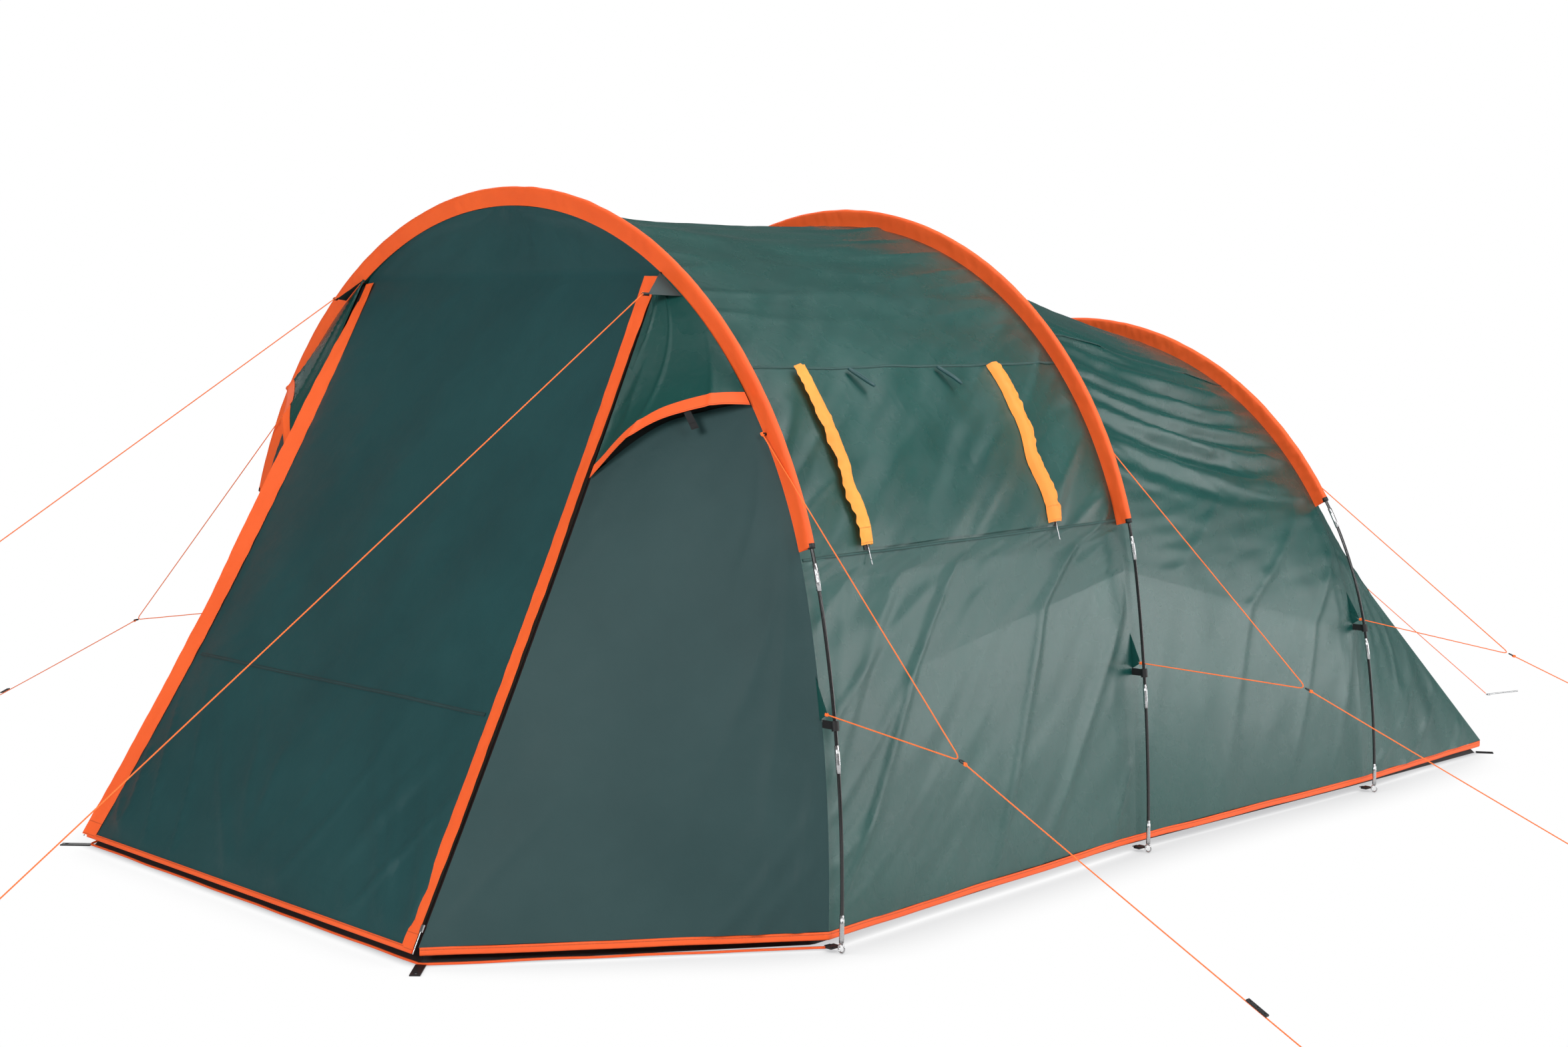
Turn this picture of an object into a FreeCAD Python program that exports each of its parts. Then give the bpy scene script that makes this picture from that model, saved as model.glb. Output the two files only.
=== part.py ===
import FreeCAD, Part
import os
from math import acos, asin, cos, degrees, pi, radians, sin, tan

from FreeCAD import Vector

# A four-person tunnel tent on three arched poles, standing pitched on flat ground.
# Millimetres. +Z is up, -Y is the front with the door, +X is the tent's right-hand side.
# The origin is on the ground, in the middle of the tent's length and width.

# Poles: station, half-width at the ground, height, turn of the leg's arc and lean to the rear
HOOPS = {
    "front": {"y": -1345.0, "half_width": 1450.0, "height": 1900.0, "leg_turn": 15.5, "lean": 2.2},
    "mid": {"y": 55.0, "half_width": 1300.0, "height": 1885.0, "leg_turn": 8.5, "lean": 0.0},
    "rear": {"y": 1290.0, "half_width": 1275.0, "height": 1545.0, "leg_turn": 10.5, "lean": 0.0},
}
SEGMENTS = {"front": 12, "mid": 12, "rear": 10}
ROD_RADIUS = 4.75
ROD_BORE = 3.0
FERRULE_RADIUS = 6.1
FERRULE_LENGTH = 68.0
FIT_GAP = 0.15
SHOCK_CORD_RADIUS = 1.25
POLE_FOOT_HEIGHT = 26.0

# Ring and pin under each pole foot
FOOT_RING_RADIUS = 10.5
FOOT_RING_WIRE = 2.0
FOOT_PIN_RADIUS = 2.2
FOOT_PIN_LENGTH = 55.0

# Pole sleeves: a tube round the pole with a web down to the flysheet
SLEEVE_OUTER = 9.0
SLEEVE_INNER = 7.0
SLEEVE_WEB = 2.4
SLEEVE_FLATS = 12
SLEEVE_GAP = 0.8
FLY_INSET = 45.0
SLEEVE_END_HEIGHT = {"front": 975.0, "mid": 955.0, "rear": 948.0}

# Flysheet
FLY = 1.5
HEM_TOP = 45.0
HEM_DEPTH = 15.0
HEM_THICKNESS = 3.0
END_Y = 2185.0
FRONT_CORNER_X = 850.0
REAR_CORNER_X = 1150.0
UPPER_SEAM = {"front": 1410.0, "mid": 1410.0}
LOWER_SEAM = {"front": 940.0, "mid": 957.0}
ROOF_SEAM = {"mid": 1523.0, "rear": 1318.0}
BACK_EDGE_HEIGHT = 820.0
BACK_SEAM_GAP = 6.0
BACK_CORNER_GAP = 3.0
BACK_KNEE = 0.6
BACK_TOP = 0.985

# Front wall: the two zip lines run from the front pole down to the front corners
ZIP_TOP_X = 700.0
ZIP_HALF_WIDTH = 10.0
BAND_WIDTH = 45.0
BAND_OFFSET = 13.0
BAND_STAND_OFF = 2.0
HINGE_GAP = 5.0

# Vents: a hood over a mesh at the top of each front side panel
VENT_HOOD_LOW = 0.63
VENT_HOOD_STAND_OFF = 9.0
VENT_MESH_ANGLE_HEIGHT = 1355.0
VENT_HOOD_ANGLE_HEIGHT = 1300.0
VENT_TOP_ANGLE_HEIGHT = 1640.0
PANEL_KNEE = 0.47
PANEL_TOP = 0.74
PROP_BASE = Vector(858, -1312, 1257)
PROP_RISE = Vector(-0.15, 0.1, 1.0)
PROP_LENGTH = 62.0
PROP_WIDTH = 24.0
PROP_GAP = 1.5
SIDE_SEAM_GAP = 1.5
VENT_TOP = 0.955
VENT_ARCH = (Vector(779, -1491, 1171), Vector(816, -1355, 1288), Vector(928, -1167, 1313))
VENT_ARCH_DEPTH = 400.0

# Side windows: stations of the zips and the film, and the film's shares of the wall's height
WINDOW_FRONT = -1055.0
WINDOW_REAR = -242.0
FILM_FRONT = -975.0
FILM_REAR = -322.0
FILM_LOW = 0.12
FILM_HIGH = 0.90
WINDOW_MARGIN = 2.0
COVER_STAND_OFF = 4.0
FLAP_WIDTH = 45.0
FLAP_LAP = 13.0
FLAP_LOW = 0.04
FLAP_STAND_OFF = 12.0
ZIP_TAPE_WIDTH = 18.0
TAPE = 1.6
TAPE_LIFT = 1.7
TAPE_LOW = 0.01
COVER_LOW = 0.02
COVER_TOP = 0.985
FILM = 0.8
FILM_LIFT = -0.3
FILM_GAP = 0.006
OPENING_LIFT = 10.0
OPENING_DEPTH = 30.0
SLAB = 3000.0

# Zip sliders
SLIDER_LENGTH = 18.0
SLIDER_WIDTH = 10.0
SLIDER_HEIGHT = 4.0
SLIDER_GAP = 0.5
PULLER_LENGTH = 55.0
PULLER_RADIUS = 1.5
PULLER_INSET = 2.0
BEAD_RADIUS = 2.0
SLIDER_REST = 0.055
DOOR_SLIDER_RISE = 40.0
DOOR_ZIP_DROP = 20.0

# Groundsheet, with a low wall all round
SHEET = 2.0
TUB_HEIGHT = 80.0
TUB_INSET = 10.0
TUB_LEAN = 55.0

# Inner bedroom in the rear bay
BEDROOM_INSET = 130.0
BEDROOM_FRONT_Y = 118.0
BEDROOM_BACK_Y = 2020.0
BEDROOM_BACK_X = 1010.0
BEDROOM_FLOOR_Z = 3.0
BEDROOM_WALL_Z = 6.0
BEDROOM_DOOR_HALF = 330.0
BEDROOM_DOOR_TOP = 1250.0
BEDROOM_DOOR_SILL = 150.0
BEDROOM_STRIP_RISE = 90.0
BEDROOM_STRIP_LEAN = 60.0
BEDROOM_STRIP_IN = 40.0
BEDROOM_FLOOR_GAP = 3.0
DOOR_GAP = 4.0
DOOR_LEFT_X = -500.0

# Webbing and clips on the pole legs
CLIP_HEIGHT = {"front": 549.0, "mid": 522.0, "rear": 538.0}
CLIP_LENGTH = 24.0
CLIP_OUTER = 9.5
CLIP_FREE = 0.4
WEBBING_WIDTH = 20.0
WEBBING = 1.6
SEWN_GAP = 0.3
LOW_TAB_START = 16.0
LOW_TAB_TIP = 26.0
LOW_TAB_END = 84.0
LOW_TAB_INSET = 16.0
HIGH_TAB_INSET = 38.0
HIGH_TAB_LENGTH = 28.0
HIGH_TAB_WIDTH = 12.0
STRAP_HEIGHT = 11.0
STRAP_REACH = 50.0
BUCKLE = (20.0, 28.0, 7.0)
FRONT_TAB_LOW = 1575.0
FRONT_TAB_HIGH = 1652.0
FRONT_TAB_LIFT = 12.0
BACK_TAB_LENGTH = 18.0
BACK_TAB_WIDTH = 14.0

# Guy lines: a side guy starts beside the sleeve, in front of the front pole and behind the others
CORD_RADIUS = 1.6
GUY_SIDE = {"front": -1.0, "mid": 1.0, "rear": 1.0}
GUY_STAND_OFF = 14.0
LOW_GUY_STAND_OFF = 9.5
GUY_HEIGHT = {"front": 1246.0, "mid": 1221.0, "rear": 1055.0}
GUY_RING = {
    "right_front": Vector(1813, -1321, 521),
    "right_mid": Vector(1768, 140, 525),
    "right_rear": Vector(1697, 1375, 494),
    "left_front": Vector(-2008, -1399, 487),
    "left_mid": Vector(-1768, 140, 525),
    "left_rear": Vector(-1697, 1375, 494),
}
GUY_PEG = {
    "right_front": Vector(2791, -1263, 6),
    "right_mid": Vector(2885, 341, 6),
    "right_rear": Vector(2886, 1612, 6),
    "left_front": Vector(-3221, -1520, 6),
    "left_mid": Vector(-2885, 341, 6),
    "left_rear": Vector(-2886, 1612, 6),
    "front_right": Vector(1010, -3760, 6),
    "front_left": Vector(-1080, -3700, 6),
    "back": Vector(500, 3380, 6),
}
# Place of each tensioner, as a share of the way from the ring or the tent to the peg
TENSIONER_AT = {
    "right_front": 0.80,
    "right_mid": 0.78,
    "right_rear": 0.78,
    "left_front": 0.73,
    "left_mid": 0.78,
    "left_rear": 0.78,
    "front_right": 0.90,
    "front_left": 0.90,
    "back": 0.55,
}
RING_RADIUS = 7.5
RING_WIRE = 1.8
FRONT_GUY_START = Vector(737, -1372, 1596)
BACK_GUY_START = Vector(0, 1336, 1484)
KNOT_GAP = 3.0
RING_SHIFT = 3.5
BRIDLE_BEND = 6.0
TENSIONER_LENGTH = 55.0
TENSIONER_WIDTH = 12.0
TENSIONER_THICKNESS = 4.0
TENSIONER_HOLE = 2.0
TENSIONER_HOLES = (-0.36, 0.0, 0.36)
TENSIONER_GAP = 0.35
PEG_LENGTH = 180.0
PEG_RADIUS = 2.25
PEG_HOOK_RADIUS = 8.0
PEG_CLEAR = 9.0

# Corner loops, each with an eyelet for a ground peg
LOOP_WIDTH = 26.0
LOOP_THICKNESS = 3.0
EYELET_RADIUS = 6.0
EYELET_SETBACK = 16.0
EYELETS = (Vector(900, -2200, 0), Vector(1175, 2200, 0))
DRILL = 20.0

SIDES = {"right": 1.0, "left": -1.0}
UP = Vector(0, 0, 1)
ALONG = Vector(0, 1, 0)


class Hoop:
    """An arch of two leg arcs and one crown arc, in a plane that leans a little to the rear."""

    def __init__(self, y, half_width, height, leg_turn, lean):
        turn = radians(leg_turn)
        lie, rise = cos(turn), sin(turn)
        det = (1 - lie) * (1 - rise) - lie * rise
        self.leg = (half_width * (1 - rise) - lie * height) / det
        self.crown = ((1 - lie) * height - rise * half_width) / det
        self.turn = turn
        self.leg_centre = half_width - self.leg
        self.crown_centre = (self.leg - self.crown) * rise
        self.y = y
        self.lean = radians(lean)
        self.normal = Vector(0, cos(self.lean), -sin(self.lean))

    def place(self, across, up):
        return Vector(across, self.y + up * sin(self.lean), up * cos(self.lean))

    def angle(self, up, inset=0.0):
        """The arc angle at a height, on the arc that many millimetres inside the pole."""
        on_leg = up / (self.leg - inset)
        if on_leg <= sin(self.turn):
            return asin(on_leg)
        return asin((up - self.crown_centre) / (self.crown - inset))

    def at(self, angle, inset=0.0, side=1.0):
        if angle <= self.turn:
            reach = self.leg - inset
            return self.place(side * (self.leg_centre + reach * cos(angle)), reach * sin(angle))
        reach = self.crown - inset
        return self.place(side * reach * cos(angle), self.crown_centre + reach * sin(angle))

    def level(self, up, inset=0.0, side=1.0):
        return self.at(self.angle(up, inset), inset, side)

    def arc(self, start, end, inset, side=1.0):
        middle = (start + end) / 2
        points = [self.at(angle, inset, side) for angle in (start, middle, end)]
        return Part.Arc(*points).toShape()

    def over(self, start, inset):
        """The crown arc from the right side at an angle, over the top, to the left side."""
        points = [self.at(start, inset), self.at(pi / 2, inset), self.at(start, inset, -1.0)]
        return Part.Arc(*points).toShape()

    def run(self, height):
        """Length along the pole from the ground line to a height on the leg or the crown."""
        angle = self.angle(height)
        if angle <= self.turn:
            return self.leg * angle
        return self.leg * self.turn + self.crown * (angle - self.turn)

    def along(self, run):
        """The point that far along the pole from the ground line at its right foot."""
        half = self.run(self.crown_centre + self.crown)
        side = 1.0 if run <= half else -1.0
        near = run if run <= half else 2 * half - run
        if near <= self.leg * self.turn:
            return self.at(near / self.leg, 0.0, side)
        return self.at(self.turn + (near - self.leg * self.turn) / self.crown, 0.0, side)

    def path(self, start, end):
        """The pole's centreline between two lengths from its right foot, as a wire of arcs."""
        half = self.run(self.crown_centre + self.crown)
        leg_end = self.leg * self.turn
        breaks = [leg_end, 2 * half - leg_end]
        stops = [start] + [b for b in breaks if start + 1 < b < end - 1] + [end]
        edges = []
        for low, high in zip(stops, stops[1:]):
            points = [self.along(low), self.along((low + high) / 2), self.along(high)]
            edges.append(Part.Arc(*points).toShape())
        return Part.Wire(edges)

    def length(self):
        return 2 * self.run(self.crown_centre + self.crown)


HOOP = {name: Hoop(**sizes) for name, sizes in HOOPS.items()}


def save(node, *solids):
    shape = solids[0] if len(solids) == 1 else Part.makeCompound(list(solids))
    shape.exportStep(f"parts/{node}.step")


def mirrored(shape):
    return shape.mirror(Vector(0, 0, 0), Vector(1, 0, 0))


def on_side(shape, side):
    return shape if side > 0 else mirrored(shape)


def line(start, end):
    return Part.LineSegment(start, end).toShape()


def between(start, end, share):
    return start + (end - start) * share


def unit(vector):
    return Vector(vector).normalize()


def box_along(start, end, width, thickness, face):
    """A flat bar from start to end, its thickness along face and its width across."""
    run = end - start
    across = unit(run.cross(face)) * (width / 2)
    depth = unit(face) * thickness
    corners = [start + across, start - across, end - across, end + across]
    return Part.Face(Part.makePolygon(corners + corners[:1])).extrude(depth)


def rod_between(start, end, radius):
    return Part.makeCylinder(radius, (end - start).Length, start, end - start)


def tube_along(wire, radius):
    """A round bar along a wire that starts at its first edge's first point."""
    first = wire.Edges[0]
    start = wire.OrderedVertexes[0].Point
    tangent = first.tangentAt(first.FirstParameter)
    if (first.valueAt(first.FirstParameter) - start).Length > 1e-3:
        tangent = first.tangentAt(first.LastParameter) * -1
    ring = Part.Wire(Part.makeCircle(radius, start, tangent))
    return wire.makePipeShell([ring], True, False)


def plate(points, depth):
    return Part.Face(Part.makePolygon(list(points) + [points[0]])).extrude(depth)


def ends(edge):
    return edge.valueAt(edge.FirstParameter), edge.valueAt(edge.LastParameter)


def end_cap(outer, inner):
    """The flat face between a panel's outer and inner edge."""
    first, last = zip(ends(outer), ends(inner))
    return Part.Face(Part.Wire(Part.sortEdges([outer, line(*last), inner, line(*first)])[0]))


def sheet_between(outers, inners):
    """A thin panel ruled between two like edges, each given as its outer and its inner line."""
    faces = [Part.makeRuledSurface(*outers), Part.makeRuledSurface(*inners)]
    for index in (0, 1):
        rims = [line(ends(outer)[index], ends(inner)[index]) for outer, inner in zip(outers, inners)]
        faces.append(Part.makeRuledSurface(*rims))
    faces += [end_cap(outer, inner) for outer, inner in zip(outers, inners)]
    shell = Part.makeShell([face for piece in faces for face in piece.Faces])
    shell.sewShape()
    solid = Part.makeSolid(shell)
    return solid.reversed() if solid.Volume < 0 else solid


def hoop_sheet(first, second, ranges, inset=FLY_INSET, side=1.0, thickness=FLY):
    """A thin panel between two arches, from one angle to another on each, in one or more pieces."""
    pieces = []
    for low_a, high_a, low_b, high_b in ranges:
        outers = [first.arc(low_a, high_a, inset, side), second.arc(low_b, high_b, inset, side)]
        inner = inset + thickness
        inners = [first.arc(low_a, high_a, inner, side), second.arc(low_b, high_b, inner, side)]
        pieces.append(sheet_between(outers, inners))
    return joined(pieces)


def joined(pieces):
    whole = pieces[0]
    for piece in pieces[1:]:
        whole = whole.fuse(piece)
    return whole.removeSplitter()


# ---------------------------------------------------------------- poles


def foot_run(hoop):
    return hoop.run(POLE_FOOT_HEIGHT)


def pole_rods(name):
    """Hollow glass-fibre segments, end to end from foot to foot."""
    hoop = HOOP[name]
    start = foot_run(hoop)
    span = (hoop.length() - 2 * start) / SEGMENTS[name]
    rods = []
    for index in range(SEGMENTS[name]):
        low = start + index * span + FIT_GAP
        high = start + (index + 1) * span - FIT_GAP
        path = hoop.path(low, high)
        rods.append(tube_along(path, ROD_RADIUS).cut(tube_along(path, ROD_BORE)))
    return rods


def pole_ferrules(name):
    """Steel tubes over the joints, fixed to the upper segment's end, and one at each foot."""
    hoop = HOOP[name]
    start = foot_run(hoop)
    span = (hoop.length() - 2 * start) / SEGMENTS[name]
    ferrules = []
    for index in range(SEGMENTS[name] + 1):
        low = start + index * span - FERRULE_LENGTH / 2
        low = max(low, start)
        high = min(low + FERRULE_LENGTH, hoop.length() - start)
        low = high - FERRULE_LENGTH
        path = hoop.path(low, high)
        inner = tube_along(path, ROD_RADIUS + FIT_GAP)
        ferrules.append(tube_along(path, FERRULE_RADIUS).cut(inner))
    return ferrules


def shock_cord(name):
    """The elastic cord that runs through all the segments of one pole."""
    hoop = HOOP[name]
    start = foot_run(hoop) + FOOT_PIN_LENGTH
    return tube_along(hoop.path(start, hoop.length() - start), SHOCK_CORD_RADIUS)


def ring_and_pin(hoop, side):
    """A steel pin that stands in the pole's foot, with the ring that its strap holds."""
    foot = hoop.level(POLE_FOOT_HEIGHT, 0.0, side)
    centre = Vector(foot.x, foot.y, FOOT_RING_RADIUS + FOOT_RING_WIRE)
    ring = Part.makeTorus(FOOT_RING_RADIUS, FOOT_RING_WIRE, centre, ALONG)
    base = hoop.level(centre.z + FOOT_RING_RADIUS - FOOT_RING_WIRE / 2, 0.0, side)
    tip = hoop.level(base.z + FOOT_PIN_LENGTH, 0.0, side)
    return ring.fuse(rod_between(base, tip, FOOT_PIN_RADIUS))


def build_poles():
    for name in HOOP:
        save(f"{name}_pole", *pole_rods(name))
    save("pole_ferrules", *[ferrule for name in HOOP for ferrule in pole_ferrules(name)])
    save("shock_cords", *[shock_cord(name) for name in HOOP])
    feet = [ring_and_pin(hoop, side) for hoop in HOOP.values() for side in SIDES.values()]
    save("ring_and_pins", *feet)


# ---------------------------------------------------------------- sleeves


def many_sided(centre, across, upward, radius):
    """A flat face with a regular outline, as creased cloth round a rod has."""
    angles = [2 * pi * (index + 0.5) / SLEEVE_FLATS for index in range(SLEEVE_FLATS)]
    corners = [centre + (across * cos(angle) + upward * sin(angle)) * radius for angle in angles]
    return Part.Face(Part.makePolygon(corners + corners[:1]))


def sleeve(name):
    """A tube round the pole's crown and the web that the flysheet is sewn to."""
    hoop = HOOP[name]
    end = hoop.angle(SLEEVE_END_HEIGHT[name])
    start = hoop.at(end)
    centre = hoop.place(0, hoop.crown_centre)
    outward = unit(start - centre)
    half = hoop.normal * (SLEEVE_WEB / 2)
    low = start - outward * (FLY_INSET - SLEEVE_GAP)
    high = start - outward * (SLEEVE_OUTER - SLEEVE_WEB / 2)
    corners = [low - half, low + half, high + half, high - half]
    outer = many_sided(start, outward, hoop.normal, SLEEVE_OUTER)
    inner = many_sided(start, outward, hoop.normal, SLEEVE_INNER)
    web = Part.Face(Part.makePolygon(corners + corners[:1]))
    profile = outer.fuse(web).cut(inner).removeSplitter().Faces[0]
    axis = hoop.normal if hoop.normal.cross(outward).z > 0 else hoop.normal * -1
    return profile.revolve(centre, axis, 180 - 2 * degrees(end))


def build_sleeves():
    for name in HOOP:
        save(f"{name}_sleeve", sleeve(name))


# ---------------------------------------------------------------- flysheet: bays


def wall_ranges(first, second, top_first, top_second):
    """The leg and crown stretches of a side wall, from the hem up to a seam on each arch."""
    low_first = first.angle(HEM_TOP, FLY_INSET)
    low_second = second.angle(HEM_TOP, FLY_INSET)
    return [
        (low_first, first.turn, low_second, second.turn),
        (first.turn, top_first, second.turn, top_second),
    ]


def seam(name, heights):
    return HOOP[name].angle(heights[name], FLY_INSET)


def roof(first, second, seams):
    """The roof between two arches, from one side's seam over the top to the other's."""
    arches = [HOOP[first], HOOP[second]]
    angles = [seam(first, seams), seam(second, seams)]
    outers = [arch.over(angle, FLY_INSET) for arch, angle in zip(arches, angles)]
    inners = [arch.over(angle, FLY_INSET + FLY) for arch, angle in zip(arches, angles)]
    return sheet_between(outers, inners)


def lower_wall(side):
    front, mid = HOOP["front"], HOOP["mid"]
    tops = seam("front", LOWER_SEAM), seam("mid", LOWER_SEAM)
    return hoop_sheet(front, mid, wall_ranges(front, mid, *tops), side=side)


def window_range():
    lows = seam("front", LOWER_SEAM), seam("mid", LOWER_SEAM)
    highs = seam("front", UPPER_SEAM), seam("mid", UPPER_SEAM)
    return lows, highs


def wall_patch(front_y, rear_y, low_share, high_share, lift, thickness=FLY):
    """A thin patch of the right window wall, lifted off it, between two stations and shares of its height."""
    lows, highs = window_range()
    stretch = []
    for low, high in zip(lows, highs):
        stretch += [low + (high - low) * low_share, low + (high - low) * high_share]
    sheet = hoop_sheet(HOOP["front"], HOOP["mid"], [stretch], FLY_INSET - lift, 1.0, thickness)
    slab = Part.makeBox(SLAB, rear_y - front_y, SLAB, Vector(0, front_y, 0))
    return sheet.common(slab)


def window_wall(side):
    """The side wall between its two long seams, with the opening for the window film."""
    lows, highs = window_range()
    wall = hoop_sheet(HOOP["front"], HOOP["mid"], [(lows[0], highs[0], lows[1], highs[1])])
    opening = wall_patch(FILM_FRONT, FILM_REAR, FILM_LOW, FILM_HIGH, OPENING_LIFT, OPENING_DEPTH)
    return on_side(wall.cut(opening), side)


def window_film(side):
    stations = FILM_FRONT + WINDOW_MARGIN, FILM_REAR - WINDOW_MARGIN
    shares = FILM_LOW + FILM_GAP, FILM_HIGH - FILM_GAP
    return on_side(wall_patch(*stations, *shares, FILM_LIFT, FILM), side)


def window_cover(side):
    """The roll-up cover over the window, between the zips."""
    edge = ZIP_TAPE_WIDTH / 2 + WINDOW_MARGIN
    stations = WINDOW_FRONT + edge, WINDOW_REAR - edge
    return on_side(wall_patch(*stations, COVER_LOW, COVER_TOP, COVER_STAND_OFF), side)


def window_flaps(side):
    """The two orange storm flaps, sewn to the cover's edges and standing over the zips."""
    flaps = []
    for start in (WINDOW_FRONT - FLAP_LAP, WINDOW_REAR + FLAP_LAP - FLAP_WIDTH):
        flap = wall_patch(start, start + FLAP_WIDTH, FLAP_LOW, COVER_TOP, FLAP_STAND_OFF)
        flaps.append(on_side(flap, side))
    return flaps


def window_zips(side):
    """A zip tape up each edge of the window cover, on the wall."""
    half = ZIP_TAPE_WIDTH / 2
    tapes = []
    for station in (WINDOW_FRONT, WINDOW_REAR):
        tape = wall_patch(station - half, station + half, TAPE_LOW, COVER_TOP, TAPE_LIFT, TAPE)
        tapes.append(on_side(tape, side))
    return tapes


def slider_and_puller(base, along, outward):
    """A zip slider on its tape, with a cord puller hanging from its lower end."""
    start = base + outward * SLIDER_GAP - along * (SLIDER_LENGTH / 2)
    end = start + along * SLIDER_LENGTH
    body = box_along(start, end, SLIDER_WIDTH, SLIDER_HEIGHT, outward)
    top = start + outward * (SLIDER_HEIGHT / 2 + SLIDER_GAP) + along * PULLER_INSET
    puller = rod_between(top, top - along * PULLER_LENGTH, PULLER_RADIUS)
    bead = Part.makeSphere(BEAD_RADIUS, top - along * PULLER_LENGTH)
    return body.fuse(puller).fuse(bead)


def window_slider(side, station):
    """A slider closed at the lower end of its window zip."""
    front, mid = HOOP["front"], HOOP["mid"]
    lows, highs = window_range()
    angle_front = lows[0] + (highs[0] - lows[0]) * SLIDER_REST
    angle_mid = lows[1] + (highs[1] - lows[1]) * SLIDER_REST
    inset = FLY_INSET - TAPE_LIFT
    rim = front.at(angle_front, inset), mid.at(angle_mid, inset)
    share = (station - rim[0].y) / (rim[1].y - rim[0].y)
    angle = angle_front + (angle_mid - angle_front) * share
    outward = Vector(cos(angle), 0, sin(angle))
    along = Vector(-sin(angle), 0, cos(angle))
    return on_side(slider_and_puller(between(*rim, share), along, outward), side)


def rear_wall(side):
    mid, rear = HOOP["mid"], HOOP["rear"]
    tops = seam("mid", ROOF_SEAM), seam("rear", ROOF_SEAM)
    return hoop_sheet(mid, rear, wall_ranges(mid, rear, *tops), side=side)


def build_bays():
    save("front_bay_roof", roof("front", "mid", UPPER_SEAM))
    walls = [wall(side) for wall in (window_wall, lower_wall) for side in SIDES.values()]
    save("front_bay_walls", *walls)
    save("window_films", *[window_film(side) for side in SIDES.values()])
    save("rear_bay_roof", roof("mid", "rear", ROOF_SEAM))
    save("rear_bay_walls", *[rear_wall(side) for side in SIDES.values()])
    for name, side in SIDES.items():
        save(f"{name}_window_cover", window_cover(side), *window_flaps(side))
        save(f"{name}_front_window_slider", window_slider(side, WINDOW_FRONT))
        save(f"{name}_rear_window_slider", window_slider(side, WINDOW_REAR))


# ---------------------------------------------------------------- flysheet: front


def zip_line():
    """The right zip line, from the front pole's arch down to the corner on the ground."""
    front = HOOP["front"]
    angle = acos(ZIP_TOP_X / (front.crown - FLY_INSET))
    return front.at(angle, FLY_INSET), Vector(FRONT_CORNER_X, -END_Y, 0)


ZIP_TOP, ZIP_FOOT = zip_line()
DOWN_ZIP = unit(ZIP_FOOT - ZIP_TOP)
DOOR_OUT = unit(Vector(0, -(ZIP_TOP.z - ZIP_FOOT.z), ZIP_FOOT.y * -1 + ZIP_TOP.y))
ACROSS_ZIP = unit(DOWN_ZIP.cross(DOOR_OUT))
if ACROSS_ZIP.x < 0:
    ACROSS_ZIP = ACROSS_ZIP * -1


def on_zip(height, offset=0.0):
    """The point of the right zip line at a height, moved sideways in the door's plane."""
    share = (ZIP_TOP.z - height) / (ZIP_TOP.z - ZIP_FOOT.z)
    return between(ZIP_TOP, ZIP_FOOT, share) + ACROSS_ZIP * offset


def door_crown():
    """The fixed top of the front wall, filling the arch above the door."""
    front = HOOP["front"]
    start = front.angle(ZIP_TOP.z / cos(front.lean) + HINGE_GAP, FLY_INSET)
    arc = front.over(start, FLY_INSET)
    chord = line(arc.Vertexes[-1].Point, arc.Vertexes[0].Point)
    return Part.Face(Part.Wire([arc, chord])).extrude(front.normal * -FLY)


def door_panel():
    """The flat door between the zips, from the crown down to its hem."""
    top = ZIP_TOP.z - HINGE_GAP
    inset = -ZIP_HALF_WIDTH - 1.0
    high, low = on_zip(top, inset), on_zip(HEM_TOP - HEM_DEPTH, inset)
    points = [high, low, Vector(-low.x, low.y, low.z), Vector(-high.x, high.y, high.z)]
    return plate(points, DOOR_OUT * FLY)


def door_bands():
    """The two orange bands down the door's edges."""
    bands = []
    outer, inner = -BAND_OFFSET, -BAND_OFFSET - BAND_WIDTH
    top, low = ZIP_TOP.z - 2 * HINGE_GAP, HEM_TOP - HEM_DEPTH
    corners = [on_zip(top, outer), on_zip(low, outer), on_zip(low, inner), on_zip(top, inner)]
    lift = DOOR_OUT * (FLY + BAND_STAND_OFF)
    band = plate([corner + lift for corner in corners], DOOR_OUT * FLY)
    for side in SIDES.values():
        bands.append(on_side(band, side))
    return bands


def door_zip(side):
    top, low = ZIP_TOP.z - DOOR_ZIP_DROP, HEM_TOP
    half = ZIP_HALF_WIDTH
    corners = [on_zip(top, half), on_zip(low, half), on_zip(low, -half), on_zip(top, -half)]
    return on_side(plate(corners, DOOR_OUT * FLY), side)


def door_slider(side):
    base = on_zip(HEM_TOP + DOOR_SLIDER_RISE) + DOOR_OUT * FLY
    return on_side(slider_and_puller(base, DOWN_ZIP * -1, DOOR_OUT), side)


def side_panel_inward():
    """The direction from the right front side panel into the tent."""
    foot = HOOP["front"].level(HEM_TOP, FLY_INSET)
    return unit((foot - ZIP_TOP).cross(ZIP_FOOT - ZIP_TOP))


PANEL_IN = side_panel_inward()
if PANEL_IN.x > 0:
    PANEL_IN = PANEL_IN * -1


def panel_piece(low, high, zip_low, zip_high, lift=0.0):
    """A thin piece of the right side panel, between two angles of the arch and two shares of the zip."""
    front = HOOP["front"]
    outer_inset, inner_inset = FLY_INSET - lift, FLY_INSET - lift + FLY
    edge = ACROSS_ZIP * (ZIP_HALF_WIDTH + SIDE_SEAM_GAP)
    start = between(ZIP_FOOT, ZIP_TOP, zip_low) + edge - PANEL_IN * lift
    end = between(ZIP_FOOT, ZIP_TOP, zip_high) + edge - PANEL_IN * lift
    outers = [front.arc(low, high, outer_inset), line(start, end)]
    inners = [front.arc(low, high, inner_inset), line(start + PANEL_IN * FLY, end + PANEL_IN * FLY)]
    return sheet_between(outers, inners)


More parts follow.
